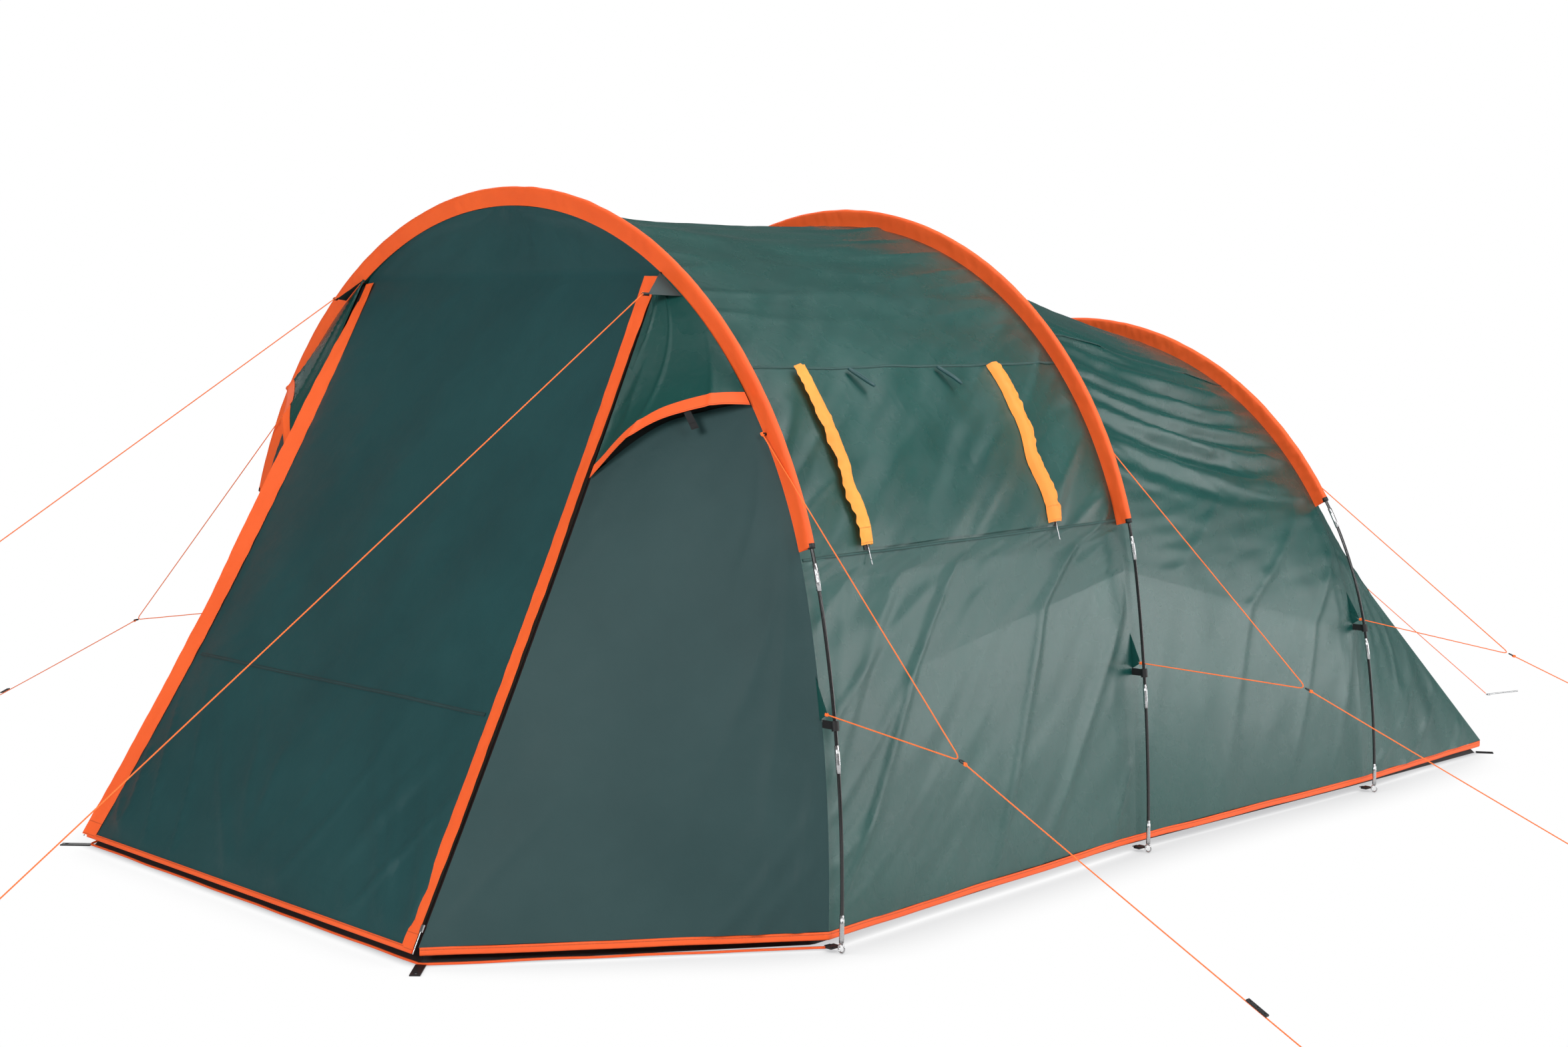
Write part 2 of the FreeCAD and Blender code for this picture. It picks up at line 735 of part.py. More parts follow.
def panel_angles():
    """The front arch's angles at the mesh's foot, the hood's foot and the top of both."""
    heights = VENT_MESH_ANGLE_HEIGHT, VENT_HOOD_ANGLE_HEIGHT, VENT_TOP_ANGLE_HEIGHT
    return [HOOP["front"].angle(height, FLY_INSET) for height in heights]


def front_panel(side):
    front = HOOP["front"]
    low = front.angle(HEM_TOP, FLY_INSET)
    vent = panel_angles()[0]
    base = HEM_TOP / ZIP_TOP.z
    panel = joined([
        panel_piece(low, front.turn, base, PANEL_KNEE),
        panel_piece(front.turn, vent, PANEL_KNEE, PANEL_TOP),
    ])
    return on_side(panel, side)


def vent_mesh(side):
    vent, _, top = panel_angles()
    return on_side(panel_piece(vent, top, PANEL_TOP, VENT_TOP), side)


def vent_hood(side):
    """The hood over the mesh: lifted off the panel, with its free edge cut to an arch."""
    _, hood, top = panel_angles()
    shell = panel_piece(hood, top, VENT_HOOD_LOW, VENT_TOP, VENT_HOOD_STAND_OFF)
    return on_side(shell.cut(arch_cutter()), side)


def arch_cutter():
    """A drum across the panel whose rim is the arch of the hood's free edge."""
    rim = Part.Circle(*VENT_ARCH)
    axis = unit(rim.Axis)
    base = rim.Center - axis * (VENT_ARCH_DEPTH / 2)
    return Part.makeCylinder(rim.Radius, VENT_ARCH_DEPTH, base, axis)


def vent_prop(side):
    """The short strap that props the hood off the panel."""
    base = PROP_BASE - PANEL_IN * PROP_GAP
    top = base + unit(PROP_RISE) * PROP_LENGTH
    return on_side(box_along(base, top, PROP_WIDTH, WEBBING, PANEL_IN * -1), side)


def build_front():
    save("door_crown", door_crown())
    save("door_panel", door_panel())
    save("door_bands", *door_bands())
    tapes = [door_zip(side) for side in SIDES.values()]
    for side in SIDES.values():
        tapes.extend(window_zips(side))
    save("zip_tapes", *tapes)
    save("front_panels", *[front_panel(side) for side in SIDES.values()])
    save("vent_meshes", *[vent_mesh(side) for side in SIDES.values()])
    hoods = [piece(side) for piece in (vent_hood, vent_prop) for side in SIDES.values()]
    save("vent_hoods", *hoods)
    for name, side in SIDES.items():
        save(f"{name}_door_slider", door_slider(side))


# ---------------------------------------------------------------- flysheet: back


def back_corner(side):
    return Vector(side * REAR_CORNER_X, END_Y, HEM_TOP + FLY)


def back_wall():
    """The sloping back wall, from the rear arch down to the straight ground line."""
    rear = HOOP["rear"]
    angle = rear.angle(BACK_EDGE_HEIGHT, FLY_INSET)
    inward = unit(Vector(0, -(rear.crown_centre + rear.crown), -(END_Y - rear.y))) * FLY
    outer = line(back_corner(1.0), back_corner(-1.0))
    inner = line(back_corner(1.0) + inward, back_corner(-1.0) + inward)
    outers = [rear.over(angle, FLY_INSET), outer]
    inners = [rear.over(angle, FLY_INSET + FLY), inner]
    return sheet_between(outers, inners)


def back_side_panel(side):
    """The triangle between the rear pole's leg and the back wall's slanting edge."""
    rear = HOOP["rear"]
    low = rear.angle(HEM_TOP, FLY_INSET)
    high = rear.angle(BACK_EDGE_HEIGHT - BACK_SEAM_GAP, FLY_INSET)
    start = back_corner(1.0) - Vector(0, BACK_CORNER_GAP, 0)
    end = between(start, rear.at(high, FLY_INSET), BACK_TOP)
    inward = Vector(-FLY, 0, 0)
    stretches = (low, rear.turn, 0.0, BACK_KNEE), (rear.turn, high, BACK_KNEE, 1.0)
    pieces = []
    for lower, upper, first, last in stretches:
        near, far = between(start, end, first), between(start, end, last)
        outers = [rear.arc(lower, upper, FLY_INSET), line(near, far)]
        inners = [rear.arc(lower, upper, FLY_INSET + FLY), line(near + inward, far + inward)]
        pieces.append(sheet_between(outers, inners))
    return on_side(joined(pieces), side)


def build_back():
    save("back_wall", back_wall())
    save("back_side_panels", *[back_side_panel(side) for side in SIDES.values()])


# ---------------------------------------------------------------- hem and groundsheet


def hem_corners(inset=0.0):
    """The right half of the tent's outline at the hem, from the front corner to the back one."""
    corner = on_zip(HEM_TOP, ZIP_HALF_WIDTH + SIDE_SEAM_GAP)
    points = [Vector(corner.x - inset, corner.y + inset, 0)]
    for hoop in HOOP.values():
        level = hoop.level(HEM_TOP, FLY_INSET)
        points.append(Vector(level.x - inset, level.y, 0))
    points.append(Vector(REAR_CORNER_X - inset, END_Y - inset, 0))
    return points


def strip(points, half, low, high):
    """A thin upright strip that follows a line of corners, with mitred joints."""
    offsets = []
    for index, point in enumerate(points):
        before = points[index - 1] if index else None
        after = points[index + 1] if index + 1 < len(points) else None
        normals = []
        for start, end in ((before, point), (point, after)):
            if start is not None and end is not None:
                run = unit(end - start)
                normals.append(Vector(run.y, -run.x, 0))
        mean = unit(normals[0] + normals[-1])
        offsets.append(mean * (half / mean.dot(normals[0])))
    outer = [point + offset for point, offset in zip(points, offsets)]
    inner = [point - offset for point, offset in zip(points, offsets)]
    outline = [Vector(p.x, p.y, low) for p in outer + inner[::-1]]
    return plate(outline, UP * (high - low))


def hem_binding():
    """The orange binding round the flysheet's lower edge, open at the door."""
    right = hem_corners()
    left = [Vector(-p.x, p.y, p.z) for p in reversed(right)]
    return strip(right + left, HEM_THICKNESS / 2, HEM_TOP - HEM_DEPTH, HEM_TOP)


def outline_wire(inset, height):
    right = hem_corners(inset)
    points = [Vector(p.x, p.y, height) for p in right]
    points += [Vector(-p.x, p.y, height) for p in reversed(right)]
    return Part.makePolygon(points + points[:1])


def groundsheet():
    return Part.Face(outline_wire(TUB_INSET + 2 * SHEET, 0)).extrude(UP * SHEET)


def tub_wall():
    """The groundsheet's low wall, leaning inwards under the flysheet."""
    outer = Part.makeLoft([outline_wire(TUB_INSET, 0), outline_wire(TUB_LEAN, TUB_HEIGHT)], True, True)
    inner = Part.makeLoft(
        [outline_wire(TUB_INSET + SHEET, -1), outline_wire(TUB_LEAN + SHEET, TUB_HEIGHT + 1)], True, True
    )
    return outer.cut(inner)


def corner_loop(corner, eyelet):
    """A webbing loop from the groundsheet's corner, with an eyelet for a ground peg."""
    outward = unit(eyelet - corner)
    start = corner + outward * SEWN_GAP
    tab = box_along(start, eyelet + outward * EYELET_SETBACK, LOOP_WIDTH, LOOP_THICKNESS, UP)
    return tab.cut(Part.makeCylinder(EYELET_RADIUS, DRILL, eyelet - UP * (DRILL / 2), UP))


def corner_loops():
    outline = hem_corners(TUB_INSET)
    tabs = [corner_loop(corner, eyelet) for corner, eyelet in zip((outline[0], outline[-1]), EYELETS)]
    return tabs + [mirrored(tab) for tab in tabs]


def build_ground():
    save("hem_binding", hem_binding())
    save("groundsheet", groundsheet(), tub_wall())
    save("corner_loops", *corner_loops())


# ---------------------------------------------------------------- bedroom


def bedroom_hoops():
    sizes = dict(HOOPS["mid"], y=BEDROOM_FRONT_Y)
    return Hoop(**sizes), HOOP["rear"]


def bedroom_shell():
    """The bedroom's walls and roof in one sheet, hung inside the rear bay."""
    front, rear = bedroom_hoops()
    inset = BEDROOM_INSET
    lows = front.angle(BEDROOM_WALL_Z, inset), rear.angle(BEDROOM_WALL_Z, inset)
    pieces = []
    for side in SIDES.values():
        stretch = [(lows[0], front.turn, lows[1], rear.turn)]
        pieces.append(hoop_sheet(front, rear, stretch, inset, side))
    outers = [hoop.over(hoop.turn, inset) for hoop in (front, rear)]
    inners = [hoop.over(hoop.turn, inset + FLY) for hoop in (front, rear)]
    pieces.append(sheet_between(outers, inners))
    return joined(pieces)


def bedroom_back():
    """The bedroom's sloping back, inside the flysheet's back wall."""
    rear = HOOP["rear"]
    low = rear.angle(BEDROOM_WALL_Z, BEDROOM_INSET)
    inner_inset = BEDROOM_INSET + FLY
    inward = Vector(0, -FLY, 0)
    corners, rises, pieces = [], [], []
    for side in SIDES.values():
        corner = Vector(side * BEDROOM_BACK_X, BEDROOM_BACK_Y, BEDROOM_WALL_Z)
        rise = corner + Vector(-side * BEDROOM_STRIP_IN, -BEDROOM_STRIP_LEAN, BEDROOM_STRIP_RISE)
        outers = [rear.arc(low, rear.turn, BEDROOM_INSET, side), line(corner, rise)]
        inners = [rear.arc(low, rear.turn, inner_inset, side), line(corner + inward, rise + inward)]
        pieces.append(sheet_between(outers, inners))
        corners.append(corner)
        rises.append(rise)
    start, end = rises
    outers = [rear.over(rear.turn, BEDROOM_INSET), line(start, end)]
    inners = [rear.over(rear.turn, inner_inset), line(start + inward, end + inward)]
    pieces.append(sheet_between(outers, inners))
    pieces.append(plate(corners + rises[::-1], inward))
    return joined(pieces)


def bedroom_doorway(grow, front, depth):
    """A slab in the doorway's shape: straight sides under a round top, off the middle."""
    half = BEDROOM_DOOR_HALF + grow
    middle = DOOR_LEFT_X + BEDROOM_DOOR_HALF
    sill = BEDROOM_DOOR_SILL - grow
    spring = BEDROOM_DOOR_TOP - BEDROOM_DOOR_HALF
    left, right = Vector(middle - half, front, sill), Vector(middle + half, front, sill)
    left_up, right_up = Vector(left.x, front, spring), Vector(right.x, front, spring)
    top = Vector(middle, front, spring + half)
    arch = Part.Arc(right_up, top, left_up).toShape()
    wire = Part.Wire([line(left, right), line(right, right_up), arch, line(left_up, left)])
    return Part.Face(wire).extrude(ALONG * depth)


def bedroom_front():
    """The bedroom's upright front wall, with its doorway."""
    front = bedroom_hoops()[0]
    inset = BEDROOM_INSET
    low = front.angle(BEDROOM_WALL_Z, inset)
    legs = [front.arc(low, front.turn, inset, side) for side in SIDES.values()]
    base = line(legs[0].Vertexes[0].Point, legs[1].Vertexes[0].Point)
    wire = Part.Wire(Part.sortEdges([base, legs[0], front.over(front.turn, inset), legs[1]])[0])
    wall = Part.Face(wire).extrude(Vector(0, -FLY, 0))
    return wall.cut(bedroom_doorway(DOOR_GAP, BEDROOM_FRONT_Y - 2 * FLY, 4 * FLY))


def bedroom_door():
    """The bedroom's door, hinged on the straight edge at its left."""
    return bedroom_doorway(0.0, BEDROOM_FRONT_Y - FLY, FLY)


def bedroom_floor():
    front, rear = bedroom_hoops()
    gap = BEDROOM_FLOOR_GAP
    right = [hoop.level(BEDROOM_WALL_Z, BEDROOM_INSET + gap) for hoop in (front, rear)]
    points = [Vector(p.x, p.y, BEDROOM_FLOOR_Z) for p in right]
    points.append(Vector(BEDROOM_BACK_X - gap, BEDROOM_BACK_Y - gap, BEDROOM_FLOOR_Z))
    points += [Vector(-p.x, p.y, p.z) for p in reversed(points)]
    return plate(points, UP * SHEET)


def build_bedroom():
    save("bedroom_walls", bedroom_shell(), bedroom_back())
    save("bedroom_front", bedroom_front())
    save("bedroom_door", bedroom_door())
    save("bedroom_floor", bedroom_floor())


# ---------------------------------------------------------------- webbing and clips


def leg_clip(name, side):
    """A hooked clip round the pole's leg with its webbing back to the flysheet."""
    hoop = HOOP[name]
    height = CLIP_HEIGHT[name]
    centre = hoop.level(height, 0.0, side)
    low = hoop.level(height - CLIP_LENGTH / 2, 0.0, side)
    high = hoop.level(height + CLIP_LENGTH / 2, 0.0, side)
    ring = rod_between(low, high, CLIP_OUTER).cut(rod_between(low, high, FERRULE_RADIUS + CLIP_FREE))
    inner = hoop.level(height, FLY_INSET - SEWN_GAP, side)
    start = centre + unit(inner - centre) * (CLIP_OUTER - 2 * CLIP_FREE)
    return ring.fuse(box_along(start, inner, WEBBING_WIDTH, WEBBING, hoop.normal))


def guy_normal(name):
    """The direction from a hoop's plane to the side that its guy lines run on."""
    return HOOP[name].normal * GUY_SIDE[name]


def guy_tab_low(name, side):
    """The small reinforced triangle above a leg clip that takes the lower guy line."""
    hoop = HOOP[name]
    height = CLIP_HEIGHT[name]
    base_low = hoop.level(height + LOW_TAB_START, FLY_INSET - SEWN_GAP, side)
    base_high = hoop.level(height + LOW_TAB_END, FLY_INSET - SEWN_GAP, side)
    stand_off = LOW_GUY_STAND_OFF - CORD_RADIUS - WEBBING - SEWN_GAP
    tip = hoop.level(height + LOW_TAB_TIP, LOW_TAB_INSET, side) + guy_normal(name) * stand_off
    return plate([base_low, base_high, tip], guy_normal(name) * WEBBING)


def guy_low(name, side):
    """Where the lower guy line is tied, beside the pole's leg."""
    hoop = HOOP[name]
    tied = hoop.level(CLIP_HEIGHT[name] + LOW_TAB_TIP, LOW_TAB_INSET, side)
    return tied + guy_normal(name) * LOW_GUY_STAND_OFF


def guy_start(name, side):
    """Where the upper guy line leaves its loop, beside the sleeve."""
    hoop = HOOP[name]
    return hoop.level(GUY_HEIGHT[name], HIGH_TAB_INSET, side) + guy_normal(name) * GUY_STAND_OFF


def guy_tab_high(name, side):
    """The webbing loop at the sleeve's foot that takes the upper guy line."""
    hoop = HOOP[name]
    half = HIGH_TAB_LENGTH / 2
    lift = SLEEVE_WEB / 2 + SEWN_GAP
    start = hoop.level(GUY_HEIGHT[name] + half, HIGH_TAB_INSET, side) + guy_normal(name) * lift
    end = hoop.level(GUY_HEIGHT[name] - half, HIGH_TAB_INSET, side) + guy_normal(name) * lift
    depth = GUY_STAND_OFF - CORD_RADIUS - SEWN_GAP - lift
    return box_along(start, end, HIGH_TAB_WIDTH, depth, guy_normal(name))


def front_guy_tab(side):
    """The reinforced triangle at the zip's top, where a front guy line is tied."""
    front = HOOP["front"]
    lift = front.normal * -FRONT_TAB_LIFT
    high = front.level(FRONT_TAB_HIGH, FLY_INSET) + lift
    low = front.level(FRONT_TAB_LOW, FLY_INSET) + lift
    tip = FRONT_GUY_START + unit(ZIP_TOP - FRONT_GUY_START) * KNOT_GAP
    return on_side(plate([high, low, tip], front.normal * -WEBBING), side)


def back_guy_tab():
    """The webbing tab on the rear sleeve's top that takes the back guy line."""
    end = BACK_GUY_START - ALONG * KNOT_GAP
    return box_along(end - ALONG * BACK_TAB_LENGTH, end, BACK_TAB_WIDTH, WEBBING, UP)


def foot_strap(name, side):
    """The strap and buckle from the ring at a pole's foot in under the hem."""
    foot = HOOP[name].level(POLE_FOOT_HEIGHT, 0.0, side)
    near = FOOT_RING_RADIUS + FOOT_RING_WIRE + SEWN_GAP
    start = Vector(foot.x - side * near, foot.y, STRAP_HEIGHT)
    end = Vector(foot.x - side * STRAP_REACH, foot.y, STRAP_HEIGHT)
    strap = box_along(start, end, WEBBING_WIDTH, WEBBING, UP)
    buckle = Part.makeBox(*BUCKLE)
    middle = between(start, end, 0.5)
    buckle.translate(middle - Vector(*BUCKLE) / 2)
    return strap.fuse(buckle)


def build_webbing():
    pairs = [(name, side) for name in HOOP for side in SIDES.values()]
    webbing = [piece(name, side) for piece in (leg_clip, foot_strap) for name, side in pairs]
    save("leg_webbing", *webbing)
    tabs = [guy_tab_low(name, side) for name, side in pairs]
    tabs += [guy_tab_high(name, side) for name, side in pairs]
    tabs += [front_guy_tab(side) for side in SIDES.values()]
    tabs.append(back_guy_tab())
    save("guy_tabs", *tabs)


# ---------------------------------------------------------------- guy lines


def rounded_path(start, corner, end, radius):
    """Two straight runs joined by a tangent arc at the corner."""
    into, out = unit(start - corner), unit(end - corner)
    half = acos(into.dot(out)) / 2
    reach = radius / tan(half)
    centre = corner + unit(into + out) * (radius / sin(half))
    near, far = corner + into * reach, corner + out * reach
    middle = centre + unit(corner - centre) * radius
    return Part.Wire([line(start, near), Part.Arc(near, middle, far).toShape(), line(far, end)])


def main_start(name):
    """Where a side guy's main line is tied to its ring, just past the wire."""
    ring, peg = GUY_RING[name], GUY_PEG[name]
    return ring + unit(peg - ring) * (RING_SHIFT + RING_RADIUS + RING_WIRE + SEWN_GAP)


def guy_ends(name):
    if name == "front_right":
        return FRONT_GUY_START, GUY_PEG[name]
    if name == "front_left":
        return Vector(-FRONT_GUY_START.x, FRONT_GUY_START.y, FRONT_GUY_START.z), GUY_PEG[name]
    if name == "back":
        return BACK_GUY_START, GUY_PEG[name]
    return main_start(name), GUY_PEG[name]


def bridle(name):
    """The cord from the upper loop through the ring and back to the tab on the pole's leg."""
    side_name, hoop_name = name.split("_")
    side = SIDES[side_name]
    ends = guy_start(hoop_name, side), guy_low(hoop_name, side)
    return tube_along(rounded_path(ends[0], GUY_RING[name], ends[1], BRIDLE_BEND), CORD_RADIUS)


def main_line(name):
    start, end = guy_ends(name)
    return rod_between(start, end, CORD_RADIUS)


def guy_ring(name):
    """The plastic ring that the bridle runs through, lying in the bridle's own plane."""
    ring, peg = GUY_RING[name], GUY_PEG[name]
    side_name, hoop_name = name.split("_")
    upper = guy_start(hoop_name, SIDES[side_name])
    normal = unit((peg - ring).cross(upper - ring))
    outward = unit(peg - ring)
    centre = ring + outward * RING_SHIFT
    return Part.makeTorus(RING_RADIUS, RING_WIRE, centre, normal.cross(outward))


def tensioner(name):
    """A flat three-hole runner that lies along its line and slides on it."""
    start, end = guy_ends(name)
    along = unit(end - start)
    above = unit(UP - along * along.z)
    middle = between(start, end, TENSIONER_AT[name]) + above * (CORD_RADIUS + TENSIONER_GAP)
    half = along * (TENSIONER_LENGTH / 2)
    bar = box_along(middle - half, middle + half, TENSIONER_WIDTH, TENSIONER_THICKNESS, above)
    for share in TENSIONER_HOLES:
        centre = middle + along * (share * TENSIONER_LENGTH)
        hole = Part.makeCylinder(TENSIONER_HOLE, DRILL, centre - above * (DRILL / 2), above)
        bar = bar.cut(hole)
    return bar


def peg(name):
    """A steel wire peg lying on the ground, its hook in the end of the line."""
    start, end = guy_ends(name)
    away = unit(Vector(end.x - start.x, end.y - start.y, 0))
    base = Vector(end.x, end.y, PEG_RADIUS) + away * PEG_CLEAR
    side = unit(away.cross(UP))
    bend = base + (side - away) * PEG_HOOK_RADIUS
    hook = Part.Arc(base, bend, base + side * (2 * PEG_HOOK_RADIUS)).toShape()
    return tube_along(Part.Wire([line(base + away * PEG_LENGTH, base), hook]), PEG_RADIUS)


SIDE_GUYS = list(GUY_RING)
OTHER_GUYS = ["front_right", "front_left", "back"]


def build_guys():
    for name in SIDE_GUYS:
        save(f"{name}_guy", bridle(name), main_line(name))
    for name in OTHER_GUYS:
        save(f"{name}_guy", main_line(name))
    save("guy_rings", *[guy_ring(name) for name in SIDE_GUYS])
    for name in SIDE_GUYS + OTHER_GUYS:
        save(f"{name}_tensioner", tensioner(name))
    save("ground_pegs", *[peg(name) for name in SIDE_GUYS + OTHER_GUYS])


def main():
    os.makedirs("parts", exist_ok=True)
    build_poles()
    build_sleeves()
    build_bays()
    build_front()
    build_back()
    build_ground()
    build_bedroom()
    build_webbing()
    build_guys()


main()
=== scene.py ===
from math import acos, asin, cos, exp, pi, radians, sin, tau

import bpy
from mathutils import Matrix, Vector, noise


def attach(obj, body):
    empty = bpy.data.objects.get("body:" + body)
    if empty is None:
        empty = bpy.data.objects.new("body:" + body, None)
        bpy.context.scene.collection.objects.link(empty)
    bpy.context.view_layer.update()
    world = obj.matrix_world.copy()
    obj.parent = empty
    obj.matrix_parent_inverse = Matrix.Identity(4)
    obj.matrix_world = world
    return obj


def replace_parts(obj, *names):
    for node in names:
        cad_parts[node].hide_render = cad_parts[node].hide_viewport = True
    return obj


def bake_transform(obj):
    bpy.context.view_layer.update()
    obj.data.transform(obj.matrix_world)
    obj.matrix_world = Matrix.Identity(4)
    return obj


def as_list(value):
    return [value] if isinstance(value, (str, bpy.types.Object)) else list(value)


# A tunnel tent on three arched poles. Metres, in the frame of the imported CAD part.

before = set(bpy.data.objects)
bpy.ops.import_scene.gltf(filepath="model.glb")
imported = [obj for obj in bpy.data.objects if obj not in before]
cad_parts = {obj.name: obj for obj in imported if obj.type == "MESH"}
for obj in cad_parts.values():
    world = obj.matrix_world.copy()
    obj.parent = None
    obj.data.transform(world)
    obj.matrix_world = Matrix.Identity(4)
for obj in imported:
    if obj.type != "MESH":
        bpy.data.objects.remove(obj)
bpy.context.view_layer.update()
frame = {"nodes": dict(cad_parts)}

# Poles: station, half-width at the ground, height, turn of the leg's arc and lean to the rear
HOOPS = {
    "front": {"y": -1.345, "half_width": 1.450, "height": 1.900, "leg_turn": 15.5, "lean": 2.2},
    "mid": {"y": 0.055, "half_width": 1.300, "height": 1.885, "leg_turn": 8.5, "lean": 0.0},
    "rear": {"y": 1.290, "half_width": 1.275, "height": 1.545, "leg_turn": 10.5, "lean": 0.0},
}
SEGMENTS = {"front": 12, "mid": 12, "rear": 10}
ROD_RADIUS = 0.00475
FERRULE_RADIUS = 0.0062
FERRULE_LENGTH = 0.068
FOOT_HEIGHT = 0.026
SLEEVE_END = {"front": 0.975, "mid": 0.955, "rear": 0.948}
SLEEVE_RADIUS = 0.009
FLY_INSET = 0.045
HEM_TOP = 0.045
HEM_DEPTH = 0.020
END_Y = 2.185
FRONT_CORNER_X = 0.850
REAR_CORNER_X = 1.150
ZIP_TOP_X = 0.700
BAY_ONE_SEAMS = ((0.940, 0.957), (1.410, 1.410))
BAY_TWO_SEAM = (1.523, 1.318)
BACK_EDGE_HEIGHT = 0.820
WINDOW_STATIONS = (-1.055, -0.242)
FILM_STATIONS = (-0.975, -0.322)
GRID = 0.014
BAY_ROWS = 400
SIDES = ((1, "right"), (-1, "left"))


class Hoop:
    """An arch of two leg arcs and one crown arc; its angle runs from the right foot to the left."""

    def __init__(self, y, half_width, height, leg_turn, lean):
        turn = radians(leg_turn)
        lie, rise = cos(turn), sin(turn)
        det = (1 - lie) * (1 - rise) - lie * rise
        self.leg = (half_width * (1 - rise) - lie * height) / det
        self.crown = ((1 - lie) * height - rise * half_width) / det
        self.turn = turn
        self.leg_centre = half_width - self.leg
        self.crown_centre = (self.leg - self.crown) * rise
        self.y = y
        self.lean = radians(lean)
        self.normal = Vector((0, cos(self.lean), -sin(self.lean)))

    def at(self, angle, inset=0.0):
        """The point at an angle, a distance inside the pole's middle line."""
        near = pi - angle if angle > pi / 2 else angle
        if near <= self.turn:
            reach = self.leg - inset
            across, up = self.leg_centre + reach * cos(near), reach * sin(near)
        else:
            reach = self.crown - inset
            across, up = reach * cos(near), self.crown_centre + reach * sin(near)
        side = -1 if angle > pi / 2 else 1
        return Vector((side * across, self.y + up * sin(self.lean), up * cos(self.lean)))

    def angle(self, up, inset=0.0):
        """The angle at a height on the right side."""
        on_leg = up / (self.leg - inset)
        if on_leg <= sin(self.turn):
            return asin(on_leg)
        return asin((up - self.crown_centre) / (self.crown - inset))

    def length(self):
        """The pole's length between its two crossings of the ground line."""
        return 2 * (self.leg * self.turn + self.crown * (pi / 2 - self.turn))

    def along(self, run):
        """The arch's angle that far along the pole from the ground line at the right foot."""
        near = min(run, self.length() - run)
        if near <= self.leg * self.turn:
            angle = near / self.leg
        else:
            angle = self.turn + (near - self.leg * self.turn) / self.crown
        return angle if run <= self.length() / 2 else pi - angle


HOOP = {name: Hoop(**sizes) for name, sizes in HOOPS.items()}


# ---- small maths


def table(value, stops, results):
    """Straight-line interpolation, carried on past both ends."""
    index = 1
    while index < len(stops) - 1 and value > stops[index]:
        index += 1
    share = (value - stops[index - 1]) / (stops[index] - stops[index - 1])
    return results[index - 1] + (results[index] - results[index - 1]) * share


def smooth(value, low, high):
    """0 below low, 1 above high and a soft step between them."""
    share = min(1.0, max(0.0, (value - low) / (high - low)))
    return share * share * (3 - 2 * share)


def held(share, width=0.03, far_width=None):
    """0 at a cloth's two sewn edges and 1 farther in than a width, which may differ by edge."""
    return smooth(share, 0.0, width) * smooth(1 - share, 0.0, far_width or width)


def arc(share):
    """0 at both ends and 1 in the middle."""
    return 4 * share * (1 - share)


def wander(x, y, z):
    """Soft noise, about -1 to 1, that changes over a distance of 1."""
    return noise.noise(Vector((x, y, z)))


def folds(s, h, turn, width, length, seed):
    """Soft folds about one width apart that run at an angle, in degrees, over a flat cloth."""
    lie, rise = cos(radians(turn)), sin(radians(turn))
    along, across = s * lie + h * rise, h * lie - s * rise
    return wander(across / width, along / length, seed)


def creases(s, h, turn, width, length, seed):
    """Pulled creases: narrow ridges that run across a cloth which is nearly flat between them."""
    return max(0.0, 1.0 - 5.0 * abs(folds(s, h, turn, width, length, seed))) ** 2


def swags(s, h, spacing, seed):
    """Slack cloth that hangs between two poles in long curved waves, one under the other."""
    drift = 0.45 * folds(s, h, 0, 0.35, 1.2, seed)
    strength = 0.75 + 0.8 * folds(s, h, 8, 0.24, 0.70, seed + 1)
    return sin(tau * (h / spacing + drift)) * strength


def mirrored(point, side):
    """A point of the right side, on the left one when side is -1."""
    return Vector((side * point[0], point[1], point[2]))


# ---- meshes


def linked(name, data):
    """A new object in the scene."""
    thing = bpy.data.objects.new(name, data)
    bpy.context.scene.collection.objects.link(thing)
    return thing


def slotted(name, data, material):
    """A piece with its material."""
    piece = linked(name, data)
    data.materials.append(material)
    return piece


def link(name, data, material, body="tent"):
    """A piece that rides on one body."""
    piece = slotted(name, data, material)
    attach(piece, body)
    return piece


def new_mesh(name, verts, faces):
    """A mesh whose four-cornered faces are shaded smooth."""
    mesh = bpy.data.meshes.new(name)
    mesh.from_pydata(verts, [], faces)
    mesh.polygons.foreach_set("use_smooth", [len(face) == 4 for face in faces])
    mesh.update()
    return mesh


def grid_mesh(name, columns, rows, place, flip=False, hole=None):
    """A sheet of quads whose corners are place(u, v), with its size in metres as its UV map."""
    verts = [place(i / columns, j / rows) for j in range(rows + 1) for i in range(columns + 1)]
    faces = []
    for j in range(rows):
        for i in range(columns):
            if hole and hole((i + 0.5) / columns, (j + 0.5) / rows):
                continue
            low = j * (columns + 1) + i
            face = [low, low + 1, low + columns + 2, low + columns + 1]
            faces.append(face[::-1] if flip else face)
    mesh = new_mesh(name, verts, faces)
    middle = rows // 2 * (columns + 1)
    wide = sum((verts[middle + i + 1] - verts[middle + i]).length for i in range(columns))
    tall = sum((verts[(j + 1) * (columns + 1)] - verts[j * (columns + 1)]).length for j in range(rows))
    layer = mesh.uv_layers.new(name="size")
    for loop in mesh.loops:
        row, column = divmod(loop.vertex_index, columns + 1)
        layer.data[loop.index].uv = (column / columns * wide, row / rows * tall)
    return mesh


def cloth_piece(name, columns, rows, place, material, body="tent", flip=False, hole=None):
    """A piece of cloth over a grid."""
    return link(name, grid_mesh(name, columns, rows, place, flip, hole), material, body)


